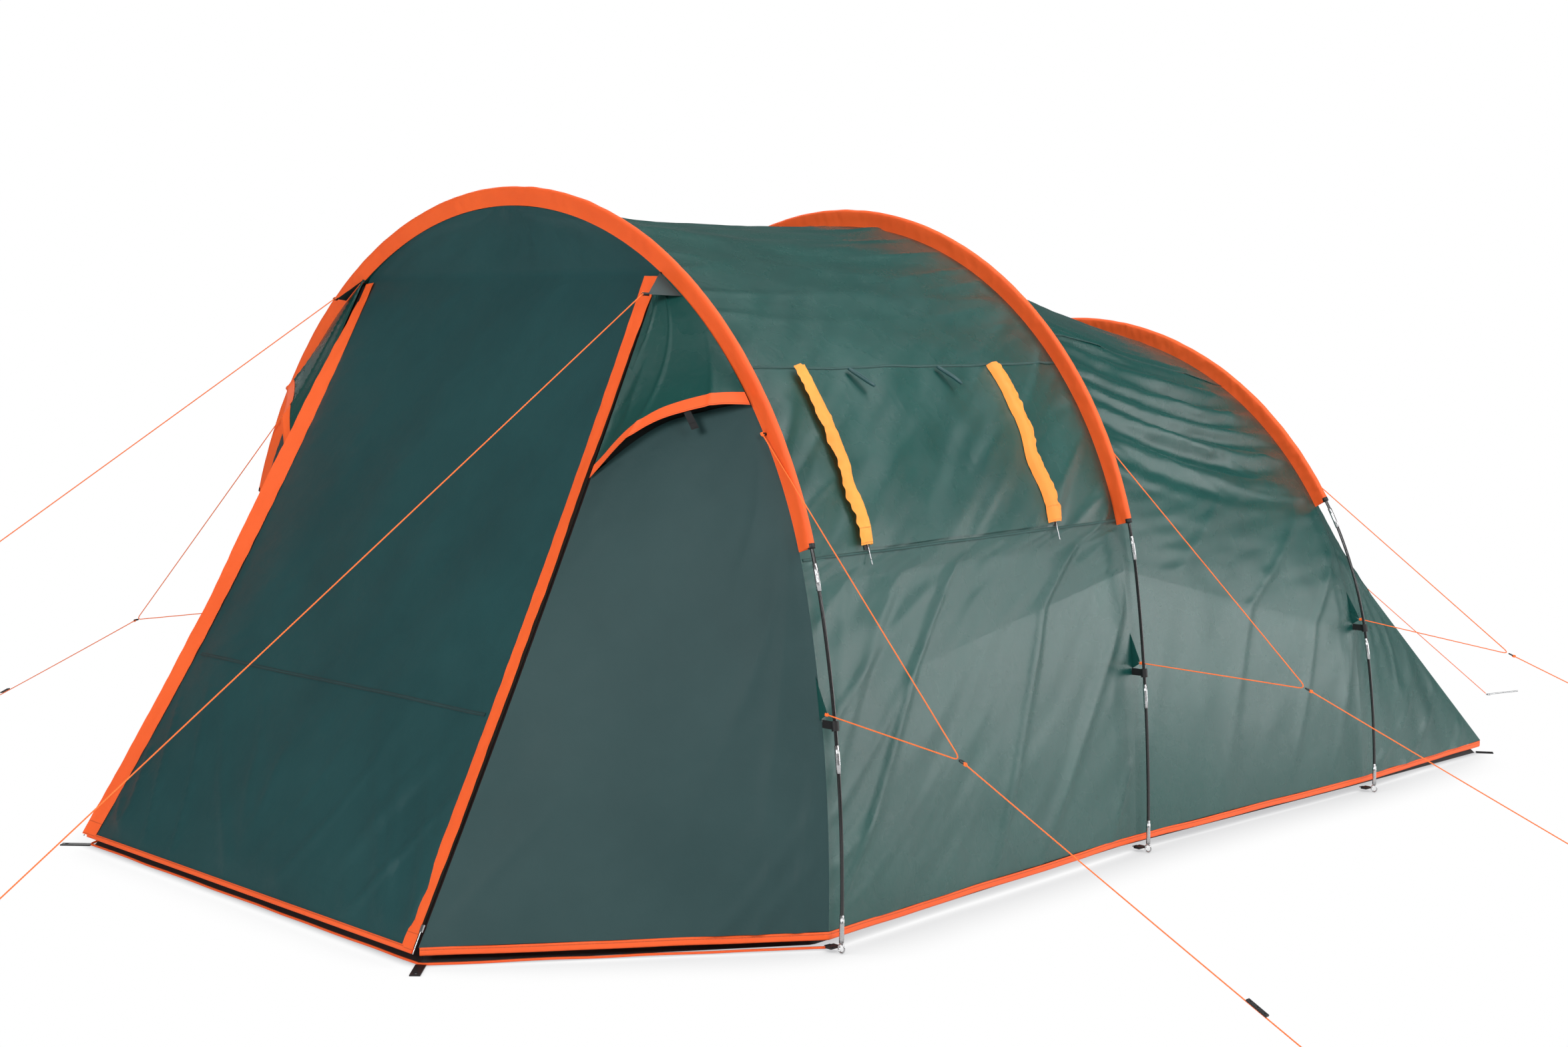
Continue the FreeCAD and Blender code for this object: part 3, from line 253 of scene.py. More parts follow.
def draped(base, lift):
    """A cloth's shape: the point at (u, v), moved out along the cloth by its folds and a height."""
    step = 0.003

    def place(u, v, height=0.0):
        across = base(u + step, v) - base(u - step, v)
        upward = base(u, v + step) - base(u, v - step)
        return base(u, v) + across.cross(upward).normalized() * (lift(u, v) + height)

    return place


def on_side(place, side):
    """A cloth's shape, mirrored when side is the left one."""
    return lambda u, v, height=0.0: mirrored(place(u, v, height), side)


def tube_mesh(name, points, radius, sides=10, ends=True):
    """A round tube along points, its section carried along without twisting."""
    tangents = []
    for index in range(len(points)):
        before, after = points[max(index - 1, 0)], points[min(index + 1, len(points) - 1)]
        tangents.append((after - before).normalized())
    across = tangents[0].orthogonal().normalized()
    verts, faces = [], []
    for point, tangent in zip(points, tangents):
        across = (across - tangent * across.dot(tangent)).normalized()
        other = tangent.cross(across)
        for k in range(sides):
            turn = tau * k / sides
            verts.append(point + (across * cos(turn) + other * sin(turn)) * radius)
    for j in range(len(points) - 1):
        for k in range(sides):
            low, high = j * sides + k, j * sides + (k + 1) % sides
            faces.append([low, high, high + sides, low + sides])
    if ends:
        faces.append(list(range(sides))[::-1])
        faces.append([len(verts) - sides + k for k in range(sides)])
    return new_mesh(name, verts, faces)


def joined(name, meshes, material, body="tent"):
    """One piece from several meshes."""
    verts, faces = [], []
    for mesh in meshes:
        start = len(verts)
        verts += [vertex.co.copy() for vertex in mesh.vertices]
        faces += [[start + index for index in face.vertices] for face in mesh.polygons]
    return link(name, new_mesh(name, verts, faces), material, body)


# ---- materials


def fill(node, **settings):
    """Fills in a node: capitalised settings are its inputs, the others its properties."""
    for key, value in settings.items():
        if key[0].isupper():
            node.inputs[key.replace("_", " ")].default_value = value
        else:
            setattr(node, key, value)
    return node


def add(nodes, kind, **settings):
    """A new shader node, filled in."""
    return fill(nodes.new("ShaderNode" + kind), **settings)


def paint_ramp(ramp, places, colours):
    """Sets a colour ramp's two stops."""
    for stop, place, colour in zip(ramp.color_ramp.elements, places, colours):
        stop.position = place
        stop.color = (*colour, 1)


class Paint:
    """A material in the making: each step joins its own nodes to the shader."""

    def __init__(self, name):
        self.material = bpy.data.materials.new(name)
        self.material.use_nodes = True
        self.nodes = self.material.node_tree.nodes
        self.join = self.material.node_tree.links.new
        self.shader = self.nodes["Principled BSDF"]
        self.where = add(self.nodes, "TexCoord")

    def pattern(self, kind, space="Object", **settings):
        """The value of a noise or wave texture in one of the surface's own spaces."""
        texture = add(self.nodes, kind, **settings)
        self.join(self.where.outputs[space], texture.inputs["Vector"])
        return texture.outputs["Fac"]

    def shades(self, value, dark, light, low=0.0, high=1.0):
        """The colour runs from dark at a low value to light at a high one."""
        ramp = add(self.nodes, "ValToRGB")
        paint_ramp(ramp, (low, high), (dark, light))
        self.join(value, ramp.inputs["Fac"])
        self.join(ramp.outputs["Color"], self.shader.inputs["Base Color"])

    def gloss(self, value, roughness, spread):
        """The roughness wanders about its mean."""
        span = add(self.nodes, "MapRange", To_Min=roughness - spread, To_Max=roughness + spread)
        self.join(value, span.inputs["Value"])
        self.join(span.outputs["Result"], self.shader.inputs["Roughness"])

    def relief(self, value, depth):
        """A bump on top of those before it."""
        raised = add(self.nodes, "Bump", Strength=1.0, Distance=depth)
        self.join(value, raised.inputs["Height"])
        normal = self.shader.inputs["Normal"]
        if normal.links:
            self.join(normal.links[0].from_socket, raised.inputs["Normal"])
        self.join(raised.outputs["Normal"], normal)

    def math(self, operation, *terms):
        """The value of one step of arithmetic on sockets and numbers."""
        step = add(self.nodes, "Math", operation=operation)
        for place, term in zip(step.inputs, terms):
            if isinstance(term, float):
                place.default_value = term
            else:
                self.join(term, place)
        return step.outputs["Value"]


def woven(name, light, dark, roughness, weave, crumple, clear=0.0, glow=0.0, shine=0.5):
    """Coated cloth: two close shades, small crumples and the weave of its yarns."""
    paint = Paint(name)
    patches = paint.pattern("TexNoise", Scale=2.3, Detail=4.0, Roughness=0.6)
    paint.shades(patches, dark, light, 0.35, 0.68)
    paint.gloss(paint.pattern("TexNoise", Scale=9.0, Detail=3.0), roughness, 0.07)
    wide = paint.pattern("TexNoise", Scale=26.0, Detail=5.0, Roughness=0.55, Distortion=0.4)
    paint.relief(wide, crumple)
    for direction in ("X", "Y"):
        yarn = paint.pattern("TexWave", "UV", bands_direction=direction, Scale=220.0, Distortion=0.6)
        paint.relief(yarn, weave)
    # Painted glow: an emission in the cloth's light shade that lightens its sides which face away from
    # the lamps.
    fill(paint.shader, Emission_Color=(*light, 1), Emission_Strength=glow)
    fill(paint.shader, Specular_IOR_Level=shine, Coat_Weight=clear, Coat_Roughness=0.22)
    return paint


def cloth(name, light, dark, roughness=0.42, weave=0.00009, crumple=0.0011, **finish):
    """A woven cloth's material."""
    return woven(name, light, dark, roughness, weave, crumple, **finish).material


STITCH_PITCH = 0.0035
STITCH_HALF_WIDTH = 0.0011


def stitched(name, light, dark, width, rows=(0.2, 0.8), glow=0.0):
    """A woven tape with lines of stitches along it, at shares of its width."""
    paint = woven(name, light, dark, 0.5, 0.0002, 0.0006, glow=glow)
    apart = add(paint.nodes, "SeparateXYZ")
    paint.join(paint.where.outputs["UV"], apart.inputs["Vector"])
    holes = paint.math("SINE", paint.math("MULTIPLY", apart.outputs["X"], tau / STITCH_PITCH))
    lines = [paint.math("COMPARE", apart.outputs["Y"], row * width, STITCH_HALF_WIDTH) for row in rows]
    thread = lines[0]
    for line in lines[1:]:
        thread = paint.math("ADD", thread, line)
    paint.relief(paint.math("MULTIPLY", thread, holes), 0.0006)
    colour = paint.shader.inputs["Base Color"]
    mix = add(paint.nodes, "Mix", data_type="RGBA")
    paint.join(thread, mix.inputs["Factor"])
    paint.join(colour.links[0].from_socket, mix.inputs[6])
    mix.inputs[7].default_value = (*[channel * 0.62 for channel in light], 1)
    paint.join(mix.outputs[2], colour)
    return paint.material


def hard(name, colour, roughness, metallic=0.0, grain=0.0002, coat=0.0):
    """Moulded plastic, steel or wrapped glass-fibre, with fine marks in its gloss and surface."""
    paint = Paint(name)
    marks = paint.pattern("TexNoise", Scale=180.0, Detail=4.0)
    paint.gloss(marks, roughness, 0.08)
    light = [min(1.0, channel * 1.15) for channel in colour]
    paint.shades(marks, [channel * 0.8 for channel in colour], light)
    paint.relief(marks, grain)
    fill(paint.shader, Metallic=metallic, Coat_Weight=coat)
    return paint.material


def braided(name, light, dark, glow=0.0):
    """Braided cord: fine diagonal strands."""
    paint = Paint(name)
    strands = paint.pattern("TexWave", bands_direction="DIAGONAL", Scale=90.0, Distortion=1.2)
    paint.shades(strands, dark, light)
    paint.relief(strands, 0.0004)
    # Painted glow: an emission in the cord's light shade that lightens its shaded sides.
    fill(paint.shader, Roughness=0.65, Emission_Color=(*light, 1), Emission_Strength=glow)
    return paint.material


def clear_film(name):
    """A limp clear window film with shallow waves."""
    paint = Paint(name)
    paint.relief(paint.pattern("TexNoise", Scale=11.0, Detail=3.0), 0.002)
    fill(paint.shader, Base_Color=(0.8, 0.86, 0.86, 1), Roughness=0.12, Alpha=0.35)
    return paint.material


GREEN = cloth("fly_green", (0.007, 0.080, 0.068), (0.005, 0.064, 0.055), 0.27, clear=0.22)
PANEL_GREEN = cloth("panel_green", (0.025, 0.067, 0.069), (0.018, 0.055, 0.057), 0.52, shine=0.36)
PATCH_GREEN = cloth("patch_green", (0.030, 0.062, 0.063), (0.024, 0.050, 0.052), 0.6)
DOOR_SEAM = stitched("door_seam_green", (0.016, 0.068, 0.070), (0.012, 0.055, 0.058), 0.010)
DOOR_GREEN = cloth("door_green", (0.013, 0.076, 0.080), (0.010, 0.062, 0.066), 0.42, clear=0.08)
SEAM_GREEN = stitched("seam_green", (0.030, 0.110, 0.100), (0.020, 0.085, 0.078), 0.009)
# The orange sleeve, tapes, hem and flaps carry a painted glow, an emission that lightens their shaded
# sides.
ORANGE = cloth("sleeve_orange", (1.0, 0.135, 0.020), (0.92, 0.110, 0.016), 0.6, glow=0.10)
ORANGE_TAPE = stitched("orange_tape", (1.0, 0.135, 0.020), (0.92, 0.110, 0.016), 0.045, (0.08, 0.92), 0.2)
ORANGE_HEM = stitched("orange_hem", (1.0, 0.130, 0.020), (0.90, 0.105, 0.016), 0.015, (0.2,), 0.2)
FLAP_ORANGE = stitched("flap_orange", (1.0, 0.38, 0.055), (1.0, 0.26, 0.035), 0.050, (0.1, 0.9), 0.22)
BLACK_TAPE = stitched("black_tape", (0.012, 0.012, 0.013), (0.007, 0.007, 0.008), 0.02, (0.15, 0.85))
MESH = cloth("vent_mesh", (0.010, 0.014, 0.014), (0.006, 0.008, 0.008), 0.8, 0.0006)
INNER = cloth("bedroom_cloth", (0.62, 0.62, 0.58), (0.52, 0.52, 0.49), 0.75)
GROUND = cloth("ground_cloth", (0.012, 0.013, 0.014), (0.008, 0.008, 0.009), 0.5)
ROD = hard("black_rod", (0.010, 0.010, 0.011), 0.25, coat=0.5)
STEEL = hard("plated_steel", (0.60, 0.61, 0.62), 0.28, 1.0, 0.00008)
PLASTIC = hard("black_plastic", (0.014, 0.014, 0.015), 0.42)
# The orange cord carries a painted glow, an emission that lightens its shaded sides.
CORD = braided("orange_cord", (1.0, 0.20, 0.035), (0.80, 0.12, 0.02), 0.25)
ELASTIC = braided("elastic_cord", (0.8, 0.8, 0.78), (0.6, 0.6, 0.58))
FILM = clear_film("window_film")

# The record's material slots, each with the new materials that belong to it
SLOTS = {
    "fly_fabric": (GREEN, PANEL_GREEN, PATCH_GREEN, DOOR_SEAM, DOOR_GREEN, SEAM_GREEN),
    "sleeve_fabric": (ORANGE,),
    "orange_fabric": (ORANGE_TAPE, ORANGE_HEM, FLAP_ORANGE),
    "black_webbing": (BLACK_TAPE,),
    "mesh_fabric": (MESH,),
    "inner_fabric": (INNER,),
    "ground_fabric": (GROUND,),
    "black_rods": (ROD,),
    "plated_steel": (STEEL,),
    "orange_cord": (CORD,),
    "clear_film": (FILM,),
}
SLOT_OF = {material.name: slot for slot, materials in SLOTS.items() for material in materials}


# ---- camera, lights, floor

CAMERA_AT = (5.218, -5.089, 1.5)
CAMERA_YAW = 46.71
CAMERA_PITCH = 4.90
CAMERA_ROLL = 0.182
CAMERA_LENS = 51.376


def add_camera():
    """The camera at the photograph's place and angle."""
    yaw, pitch, roll = radians(CAMERA_YAW), radians(CAMERA_PITCH), radians(CAMERA_ROLL)
    forward = Vector((-sin(yaw) * cos(pitch), cos(yaw) * cos(pitch), -sin(pitch)))
    level = Vector((cos(yaw), sin(yaw), 0))
    upward = level.cross(forward)
    right = level * cos(roll) + upward * sin(roll)
    top = upward * cos(roll) - level * sin(roll)
    data = bpy.data.cameras.new("camera")
    data.lens = CAMERA_LENS
    data.sensor_width = 36.0
    data.clip_end = 200.0
    camera = linked("camera", data)
    turn = Matrix((right, top, -forward)).transposed().to_4x4()
    camera.matrix_world = Matrix.Translation(CAMERA_AT) @ turn
    bpy.context.scene.camera = camera


def add_area(name, at, target, size, power):
    """A softbox that faces a target."""
    data = bpy.data.lights.new(name, "AREA")
    data.shape = "RECTANGLE"
    data.size, data.size_y = size
    data.energy = power
    light = linked(name, data)
    light.location = at
    light.rotation_euler = (Vector(target) - Vector(at)).to_track_quat("-Z", "Y").to_euler()


def seen_and_lit(tree, seen, lit, surface):
    """One shader for what the camera sees and another for all other rays."""
    path = add(tree.nodes, "LightPath")
    mix = add(tree.nodes, "MixShader")
    tree.links.new(path.outputs["Is Camera Ray"], mix.inputs["Fac"])
    tree.links.new(lit, mix.inputs[1])
    tree.links.new(seen, mix.inputs[2])
    tree.links.new(mix.outputs["Shader"], surface)


def add_world():
    """White to the camera and a dim grey as light, so that the softboxes shape the cloth."""
    world = bpy.data.worlds.new("studio")
    bpy.context.scene.world = world
    world.use_nodes = True
    nodes = world.node_tree.nodes
    seen = fill(nodes["Background"], Color=(1, 1, 1, 1)).outputs["Background"]
    lit = add(nodes, "Background", Strength=0.16).outputs["Background"]
    seen_and_lit(world.node_tree, seen, lit, nodes["World Output"].inputs["Surface"])


def floor_material():
    """A white studio floor: bright as the backdrop, with a painted shadow that darkens it close under the
    tent.
    """
    paint = Paint("studio_floor")
    fill(paint.shader, Base_Color=(0.75, 0.75, 0.75, 1), Roughness=0.9)
    # Painted shadow: the occlusion under and beside the tent darkens the floor's glow.
    shade = add(paint.nodes, "AmbientOcclusion", Distance=0.35)
    ramp = add(paint.nodes, "ValToRGB")
    paint_ramp(ramp, (0.25, 0.85), ((0.55, 0.55, 0.56), (1, 1, 1)))
    glow = add(paint.nodes, "Emission")
    paint.join(shade.outputs["AO"], ramp.inputs["Fac"])
    paint.join(ramp.outputs["Color"], glow.inputs["Color"])
    surface = paint.nodes["Material Output"].inputs["Surface"]
    lit = paint.shader.outputs["BSDF"]
    seen_and_lit(paint.material.node_tree, glow.outputs["Emission"], lit, surface)
    return paint.material


def add_studio():
    """The backdrop, the softboxes and the floor."""
    add_world()
    add_area("rear_softbox", (5.0, 4.6, 1.25), (1.2, 0.2, 0.7), (3.8, 2.4), 120)
    add_area("top_softbox", (1.0, 0.6, 6.0), (0.3, 0.2, 0.0), (3.0, 5.0), 150)
    add_area("window_softbox", (4.0, 0.9, 4.5), (1.1, -0.8, 1.2), (2.4, 2.0), 85)
    add_area("front_softbox", (2.5, -9.0, 4.5), (0.0, -1.0, 0.8), (3.0, 3.0), 380)
    add_area("side_softbox", (8.0, -2.5, 4.5), (1.0, -0.2, 0.8), (2.5, 2.5), 190)
    add_area("left_softbox", (-7.0, 2.0, 4.5), (-0.8, 0.2, 0.8), (3.5, 3.0), 170)
    floor = bpy.data.meshes.new("floor")
    reach, level = 60.0, -0.0005
    corners = [(-reach, -reach), (reach, -reach), (reach, reach), (-reach, reach)]
    floor.from_pydata([(x, y, level) for x, y in corners], [], [[0, 1, 2, 3]])
    plane = linked("floor", floor)
    floor.materials.append(floor_material())
    bpy.context.scene.view_settings.view_transform = "Standard"


# ---- bays of the flysheet


def halved(v):
    """A bay's v as a side, 1 for right and -1 for left, and a share of the way up to the ridge."""
    return (1, v) if v <= 1 else (-1, 2 - v)


def doubled(shape):
    """A bay's shape with v from 0 at the right hem to 1 at the left one."""
    return lambda u, v: shape(u, 2 * v)


def bay_base(first, second, heights, inset=FLY_INSET):
    """The cloth between two arches: u from the first to the second, v from 0 at the right hem
    to 1 along the ridge and 2 at the left hem. Each height is a share of v and two heights."""
    stops = [share for share, _, _ in heights] + [1.0]
    rises_first = [first.angle(up, inset) for _, up, _ in heights] + [pi / 2]
    rises_second = [second.angle(up, inset) for _, _, up in heights] + [pi / 2]

    def base(u, v):
        side, near = halved(v)
        a, b = table(near, stops, rises_first), table(near, stops, rises_second)
        if side < 0:
            a, b = pi - a, pi - b
        return first.at(a, inset).lerp(second.at(b, inset), u)

    return base


# Shares of the way up a bay at which its seams lie
LOWER, UPPER = 0.33, 0.53
BAY_TWO_UPPER = 0.60
HEM_LINE = (0.0, HEM_TOP, HEM_TOP)
ONE_HEIGHTS = [HEM_LINE, (LOWER, *BAY_ONE_SEAMS[0]), (UPPER, *BAY_ONE_SEAMS[1])]
BAY_ONE = bay_base(HOOP["front"], HOOP["mid"], ONE_HEIGHTS)
BAY_TWO = bay_base(HOOP["mid"], HOOP["rear"], [HEM_LINE, (BAY_TWO_UPPER, *BAY_TWO_SEAM)])
BAY_ONE_WIDTH, BAY_TWO_WIDTH, BAY_HEIGHT = 1.38, 1.24, 2.75


def puckers(s, h, width, seed):
    """Small gathers beside the stitching of a sleeve."""
    near = exp(-s / 0.045) + exp(-(width - s) / 0.045)
    return 0.0034 * near * folds(s, h, 0, 0.022, 0.12, seed)


def bay_one_lift(u, v):
    """The front bay: a slack roof, creases from the sleeves and long pulls in the lower walls."""
    side, near = halved(v)
    seed = 3.0 * side
    s, h = u * BAY_ONE_WIDTH, near * BAY_HEIGHT
    sag = arc(u)
    roof = smooth(near, UPPER - 0.03, UPPER + 0.12)
    low = 1 - smooth(near, LOWER - 0.10, LOWER)
    window = (1 - roof) * (1 - low)
    near_front, near_mid = exp(-s / 0.34), exp(-(BAY_ONE_WIDTH - s) / 0.26)
    lift = -sag * (0.006 + 0.020 * roof)
    lift += 0.0130 * roof * (near_front + 0.7 * near_mid) * creases(s, h, 5, 0.17, 1.3, seed)
    lift += 0.0130 * roof * folds(s, h, -9, 0.16, 1.0, seed + 1)
    lift += 0.0080 * window * folds(s, h, 40, 0.13, 0.5, seed + 2)
    corner = exp(-s / 0.22) + exp(-(BAY_ONE_WIDTH - s) / 0.30)
    lift += 0.0090 * corner * window * creases(s, h, 38, 0.13, 0.7, seed + 3)
    lift += 0.0100 * low * creases(s, h, 50, 0.20, 1.6, seed + 4)
    lift += 0.0100 * low * folds(s, h, 58, 0.30, 1.2, seed + 5)
    lift += 0.0095 * low * near_front * creases(s, h, 34, 0.10, 0.8, seed + 7)
    lift += 0.0030 * folds(s, h, 35, 0.06, 0.20, seed + 6)
    lift += puckers(s, h, BAY_ONE_WIDTH, seed + 8)
    return lift * held(u) * smooth(near, -0.02, 0.05)


def bay_two_lift(u, v):
    """The rear bay: swags across its middle and long pulls below."""
    side, near = halved(v)
    seed = 11.0 * side
    s, h = u * BAY_TWO_WIDTH, near * BAY_HEIGHT
    sag = arc(u)
    drooped = h + 0.075 * sag + 0.03 * u
    roof = smooth(near, BAY_TWO_UPPER - 0.02, BAY_TWO_UPPER + 0.10)
    middle = smooth(near, 0.26, 0.36) * (1 - smooth(near, 0.58, 0.70))
    low = 1 - smooth(near, 0.24, 0.38)
    lift = -sag * (0.010 + 0.016 * roof)
    lift += 0.0190 * middle * sag ** 0.7 * swags(s, drooped, 0.140, seed)
    lift += 0.0050 * middle * creases(s, drooped, -8, 0.12, 0.8, seed + 1)
    lift += 0.0080 * roof * folds(s, h, 4, 0.20, 1.0, seed + 2)
    lift += 0.0060 * low * creases(s, h, 52, 0.26, 1.4, seed + 3)
    lift += 0.0090 * low * folds(s, h, 60, 0.34, 1.2, seed + 4)
    lift += 0.0030 * folds(s, h, 25, 0.06, 0.18, seed + 5)
    lift += puckers(s, h, BAY_TWO_WIDTH, seed + 8)
    return lift * held(u) * smooth(near, -0.02, 0.05)


BAY_ONE_CLOTH = draped(BAY_ONE, bay_one_lift)
BAY_TWO_CLOTH = draped(BAY_TWO, bay_two_lift)


def window_share(station, height=1.17):
    """The share of the way from the front arch to the middle one at a station."""
    front, mid = HOOP["front"], HOOP["mid"]
    start = front.y + height * sin(front.lean)
    return (station - start) / (mid.y - start)


def in_window(u, v):
    """Whether a point of the front bay is in the hole behind a window's film."""
    near = 2 * min(v, 1 - v)
    low = LOWER + (UPPER - LOWER) * 0.12
    high = LOWER + (UPPER - LOWER) * 0.90
    first, last = [window_share(station) for station in FILM_STATIONS]
    return low < near < high and first < u < last


def build_bays():
    """The two bays, each one cloth from hem to hem."""
    for bay, poles, shape, width, hole in (
        ("front_bay", ["front_pole", "mid_pole"], BAY_ONE_CLOTH, BAY_ONE_WIDTH, in_window),
        ("rear_bay", ["mid_pole", "rear_pole"], BAY_TWO_CLOTH, BAY_TWO_WIDTH, None),
    ):
        columns = int(width / GRID)
        fly = cloth_piece(f"{bay}_fly", columns, BAY_ROWS, doubled(shape), GREEN, hole=hole)
        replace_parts(fly, f"{bay}_roof", f"{bay}_walls")
        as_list(poles)


def seam_on(name, shape, path, width, material, body="tent"):
    """A felled seam that follows path(t) = (u, v) over a cloth."""
    height, crown = 0.0012, 0.0008

    def place(t, across):
        ahead, behind = path(min(1.0, t + 0.01)), path(max(0.0, t - 0.01))
        run = (shape(*ahead, height) - shape(*behind, height)).normalized()
        out = (shape(*path(t), 0.01) - shape(*path(t), 0.0)).normalized()
        offset = across - 0.5
        middle = shape(*path(t), height) + out.cross(run).normalized() * (offset * width)
        return middle + out * (crown * (1 - 4 * offset * offset))

    cloth_piece(name, 120, 4, place, material, body)


def build_seams():
    """The long seams of both bays, on both sides."""
    for side, name in SIDES:

        def level(v, flip=side):
            return lambda t: (0.004 + 0.992 * t, v if flip > 0 else 2 - v)

        seam_on(f"{name}_upper_seam", BAY_ONE_CLOTH, level(UPPER), 0.009, SEAM_GREEN)
        seam_on(f"{name}_lower_seam", BAY_ONE_CLOTH, level(LOWER), 0.009, SEAM_GREEN)
        seam_on(f"{name}_rear_seam", BAY_TWO_CLOTH, level(BAY_TWO_UPPER), 0.007, SEAM_GREEN)


# ---- side windows

COVER_HEIGHT = 0.004
COVER_EDGE = 0.011
FLAP_WIDTH = 0.050
FLAP_LAP = 0.013
FLAP_SLANT = 0.022
FLAP_TUNNEL = 0.018
ZIP_TAPE = 0.018
ZIP_HEIGHT = 0.0017
FILM_LAP = 0.012
FILM_HEIGHT = -0.003
TOGGLE_STATIONS = (-0.868, -0.503)
TOGGLE_RADIUS = 0.0042

# Where each piece starts up the window wall and how far it reaches, as shares of the wall
COVER_REACH = (0.02, 0.965)
FLAP_REACH = (0.03, 0.955)
FILM_REACH = (0.09, 0.84)
ZIP_REACH = (0.01, 0.975)


def wall_at(side):
    """The right or left window wall: u over the bay and v from its lower seam to its upper one."""

    def place(u, share, height=0.0):
        v = LOWER + (UPPER - LOWER) * share
        return BAY_ONE_CLOTH(u, v if side > 0 else 2 - v, height)

    return place


def build_cover(side, name):
    """The roll-up cover over a window, slightly pillowed, with its two storm flaps."""
    wall = wall_at(side)
    first, last = [window_share(station) for station in WINDOW_STATIONS]
    edge = COVER_EDGE / BAY_ONE_WIDTH

    def pillow(u, v):
        share = (u - first) / (last - first)
        middle = arc(share) * v * (1 - v)
        ripple = 0.004 * wander(u * 9, v * 5, 7.0 * side)
        return COVER_HEIGHT + 0.005 * middle + ripple * min(1.0, 4 * middle)

    def place(s, t):
        u = first + edge + (last - first - 2 * edge) * s
        v = COVER_REACH[0] + COVER_REACH[1] * t
        return wall(u, v, pillow(u, v))

    body = f"{name}_window_cover"
    cover = cloth_piece(f"{name}_window_blind", 58, 36, place, GREEN, body, side < 0)
    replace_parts(cover, body)
    flaps = [build_flap(side, name, index) for index in (0, 1)]


def build_flap(side, name, index):
    """An orange storm flap that stands crumpled over a window zip, clear of its slider."""
    wall = wall_at(side)
    station = WINDOW_STATIONS[index]
    lap = -FLAP_LAP if index == 0 else FLAP_LAP - FLAP_WIDTH
    seed = 5.0 * side + 20 * index

    def place(s, t):
        drift = 0.009 * wander(t * 4, seed, 0.0)
        u = window_share(station + lap + FLAP_WIDTH * s - FLAP_SLANT * (1 - index) + drift)
        free = 1 - s if index == 0 else s
        ripple = 0.006 * wander(t * 10, s * 2, seed) + 0.0044 * wander(t * 30, s * 4, seed + 1)
        tunnel = FLAP_TUNNEL * smooth(free, 0.0, 0.22) - 0.008 * smooth(free, 0.6, 1.0)
        height = COVER_HEIGHT + 0.002 + tunnel + ripple * (0.2 + free)
        return wall(u, FLAP_REACH[0] + FLAP_REACH[1] * t, height)

    body = f"{name}_window_cover"
    return cloth_piece(f"{name}_flap_{index}", 8, 90, place, FLAP_ORANGE, body, side < 0)


def build_film(side, name):
    """The clear film behind a window's cover."""
    wall = wall_at(side)
    first, last = [window_share(station) for station in FILM_STATIONS]

    def place(s, t):
        u = first - FILM_LAP + (last - first + 2 * FILM_LAP) * s
        return wall(u, FILM_REACH[0] + FILM_REACH[1] * t, FILM_HEIGHT)

    film = cloth_piece(f"{name}_film", 30, 20, place, FILM)
    return film


def window_zip_mesh(side, station):
    """The tape of a window zip."""
    wall, middle = wall_at(side), window_share(station)
    half = ZIP_TAPE / 2 / BAY_ONE_WIDTH

    def place(s, t):
        return wall(middle + half * (2 * s - 1), ZIP_REACH[0] + ZIP_REACH[1] * t, ZIP_HEIGHT)

    return grid_mesh("zip", 4, 60, place)


def build_toggles(side, name):
    """Two narrow cloth loops that hang from the upper seam, to tie the rolled cover."""
    wall = wall_at(side)
    for index, station in enumerate(TOGGLE_STATIONS):
        u = window_share(station, 1.39)
        points = []
        for k in range(25):
            turn = tau * k / 24
            down = 0.5 - 0.5 * cos(turn)
            apart = 0.006 * sin(turn)
            share = 0.97 - 0.13 * down - apart
            points.append(wall(u + 0.028 * down + apart, share, 0.015 + 0.016 * down))
        loop = tube_mesh("loop", points, TOGGLE_RADIUS, 8)
        link(f"{name}_toggle_loop_{index}", loop, DOOR_GREEN, f"{name}_window_cover")


def build_windows():
    """Both windows; returns the meshes of their zip tapes."""
    films, tapes = [], []
    for side, name in SIDES:
        build_cover(side, name)
        films.append(build_film(side, name))
        tapes += [window_zip_mesh(side, station) for station in WINDOW_STATIONS]
        build_toggles(side, name)
    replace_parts(films[0], "window_films")
    return tapes


# ---- sleeves and poles


# How far the tube of a sleeve wraps to each side, in degrees, and the length of its quads
SLEEVE_WRAP = 100
SLEEVE_GRID = 0.008
SLEEVE_END_TAPE = 0.012


def sleeve_section(count):
    """Points round the sleeve: (distance inside the pole, distance along the hoop's axis)."""
    taper = [(FLY_INSET, 0.0012), (0.036, 0.0020), (0.027, 0.0035), (0.018, 0.0057), (0.009, 0.0080)]
    ring = []
    for k in range(count + 1):
        turn = radians(SLEEVE_WRAP) * (2 * k / count - 1)
        ring.append((-SLEEVE_RADIUS * cos(turn), SLEEVE_RADIUS * sin(turn)))
    return [(inset, -along) for inset, along in taper] + ring + taper[::-1]


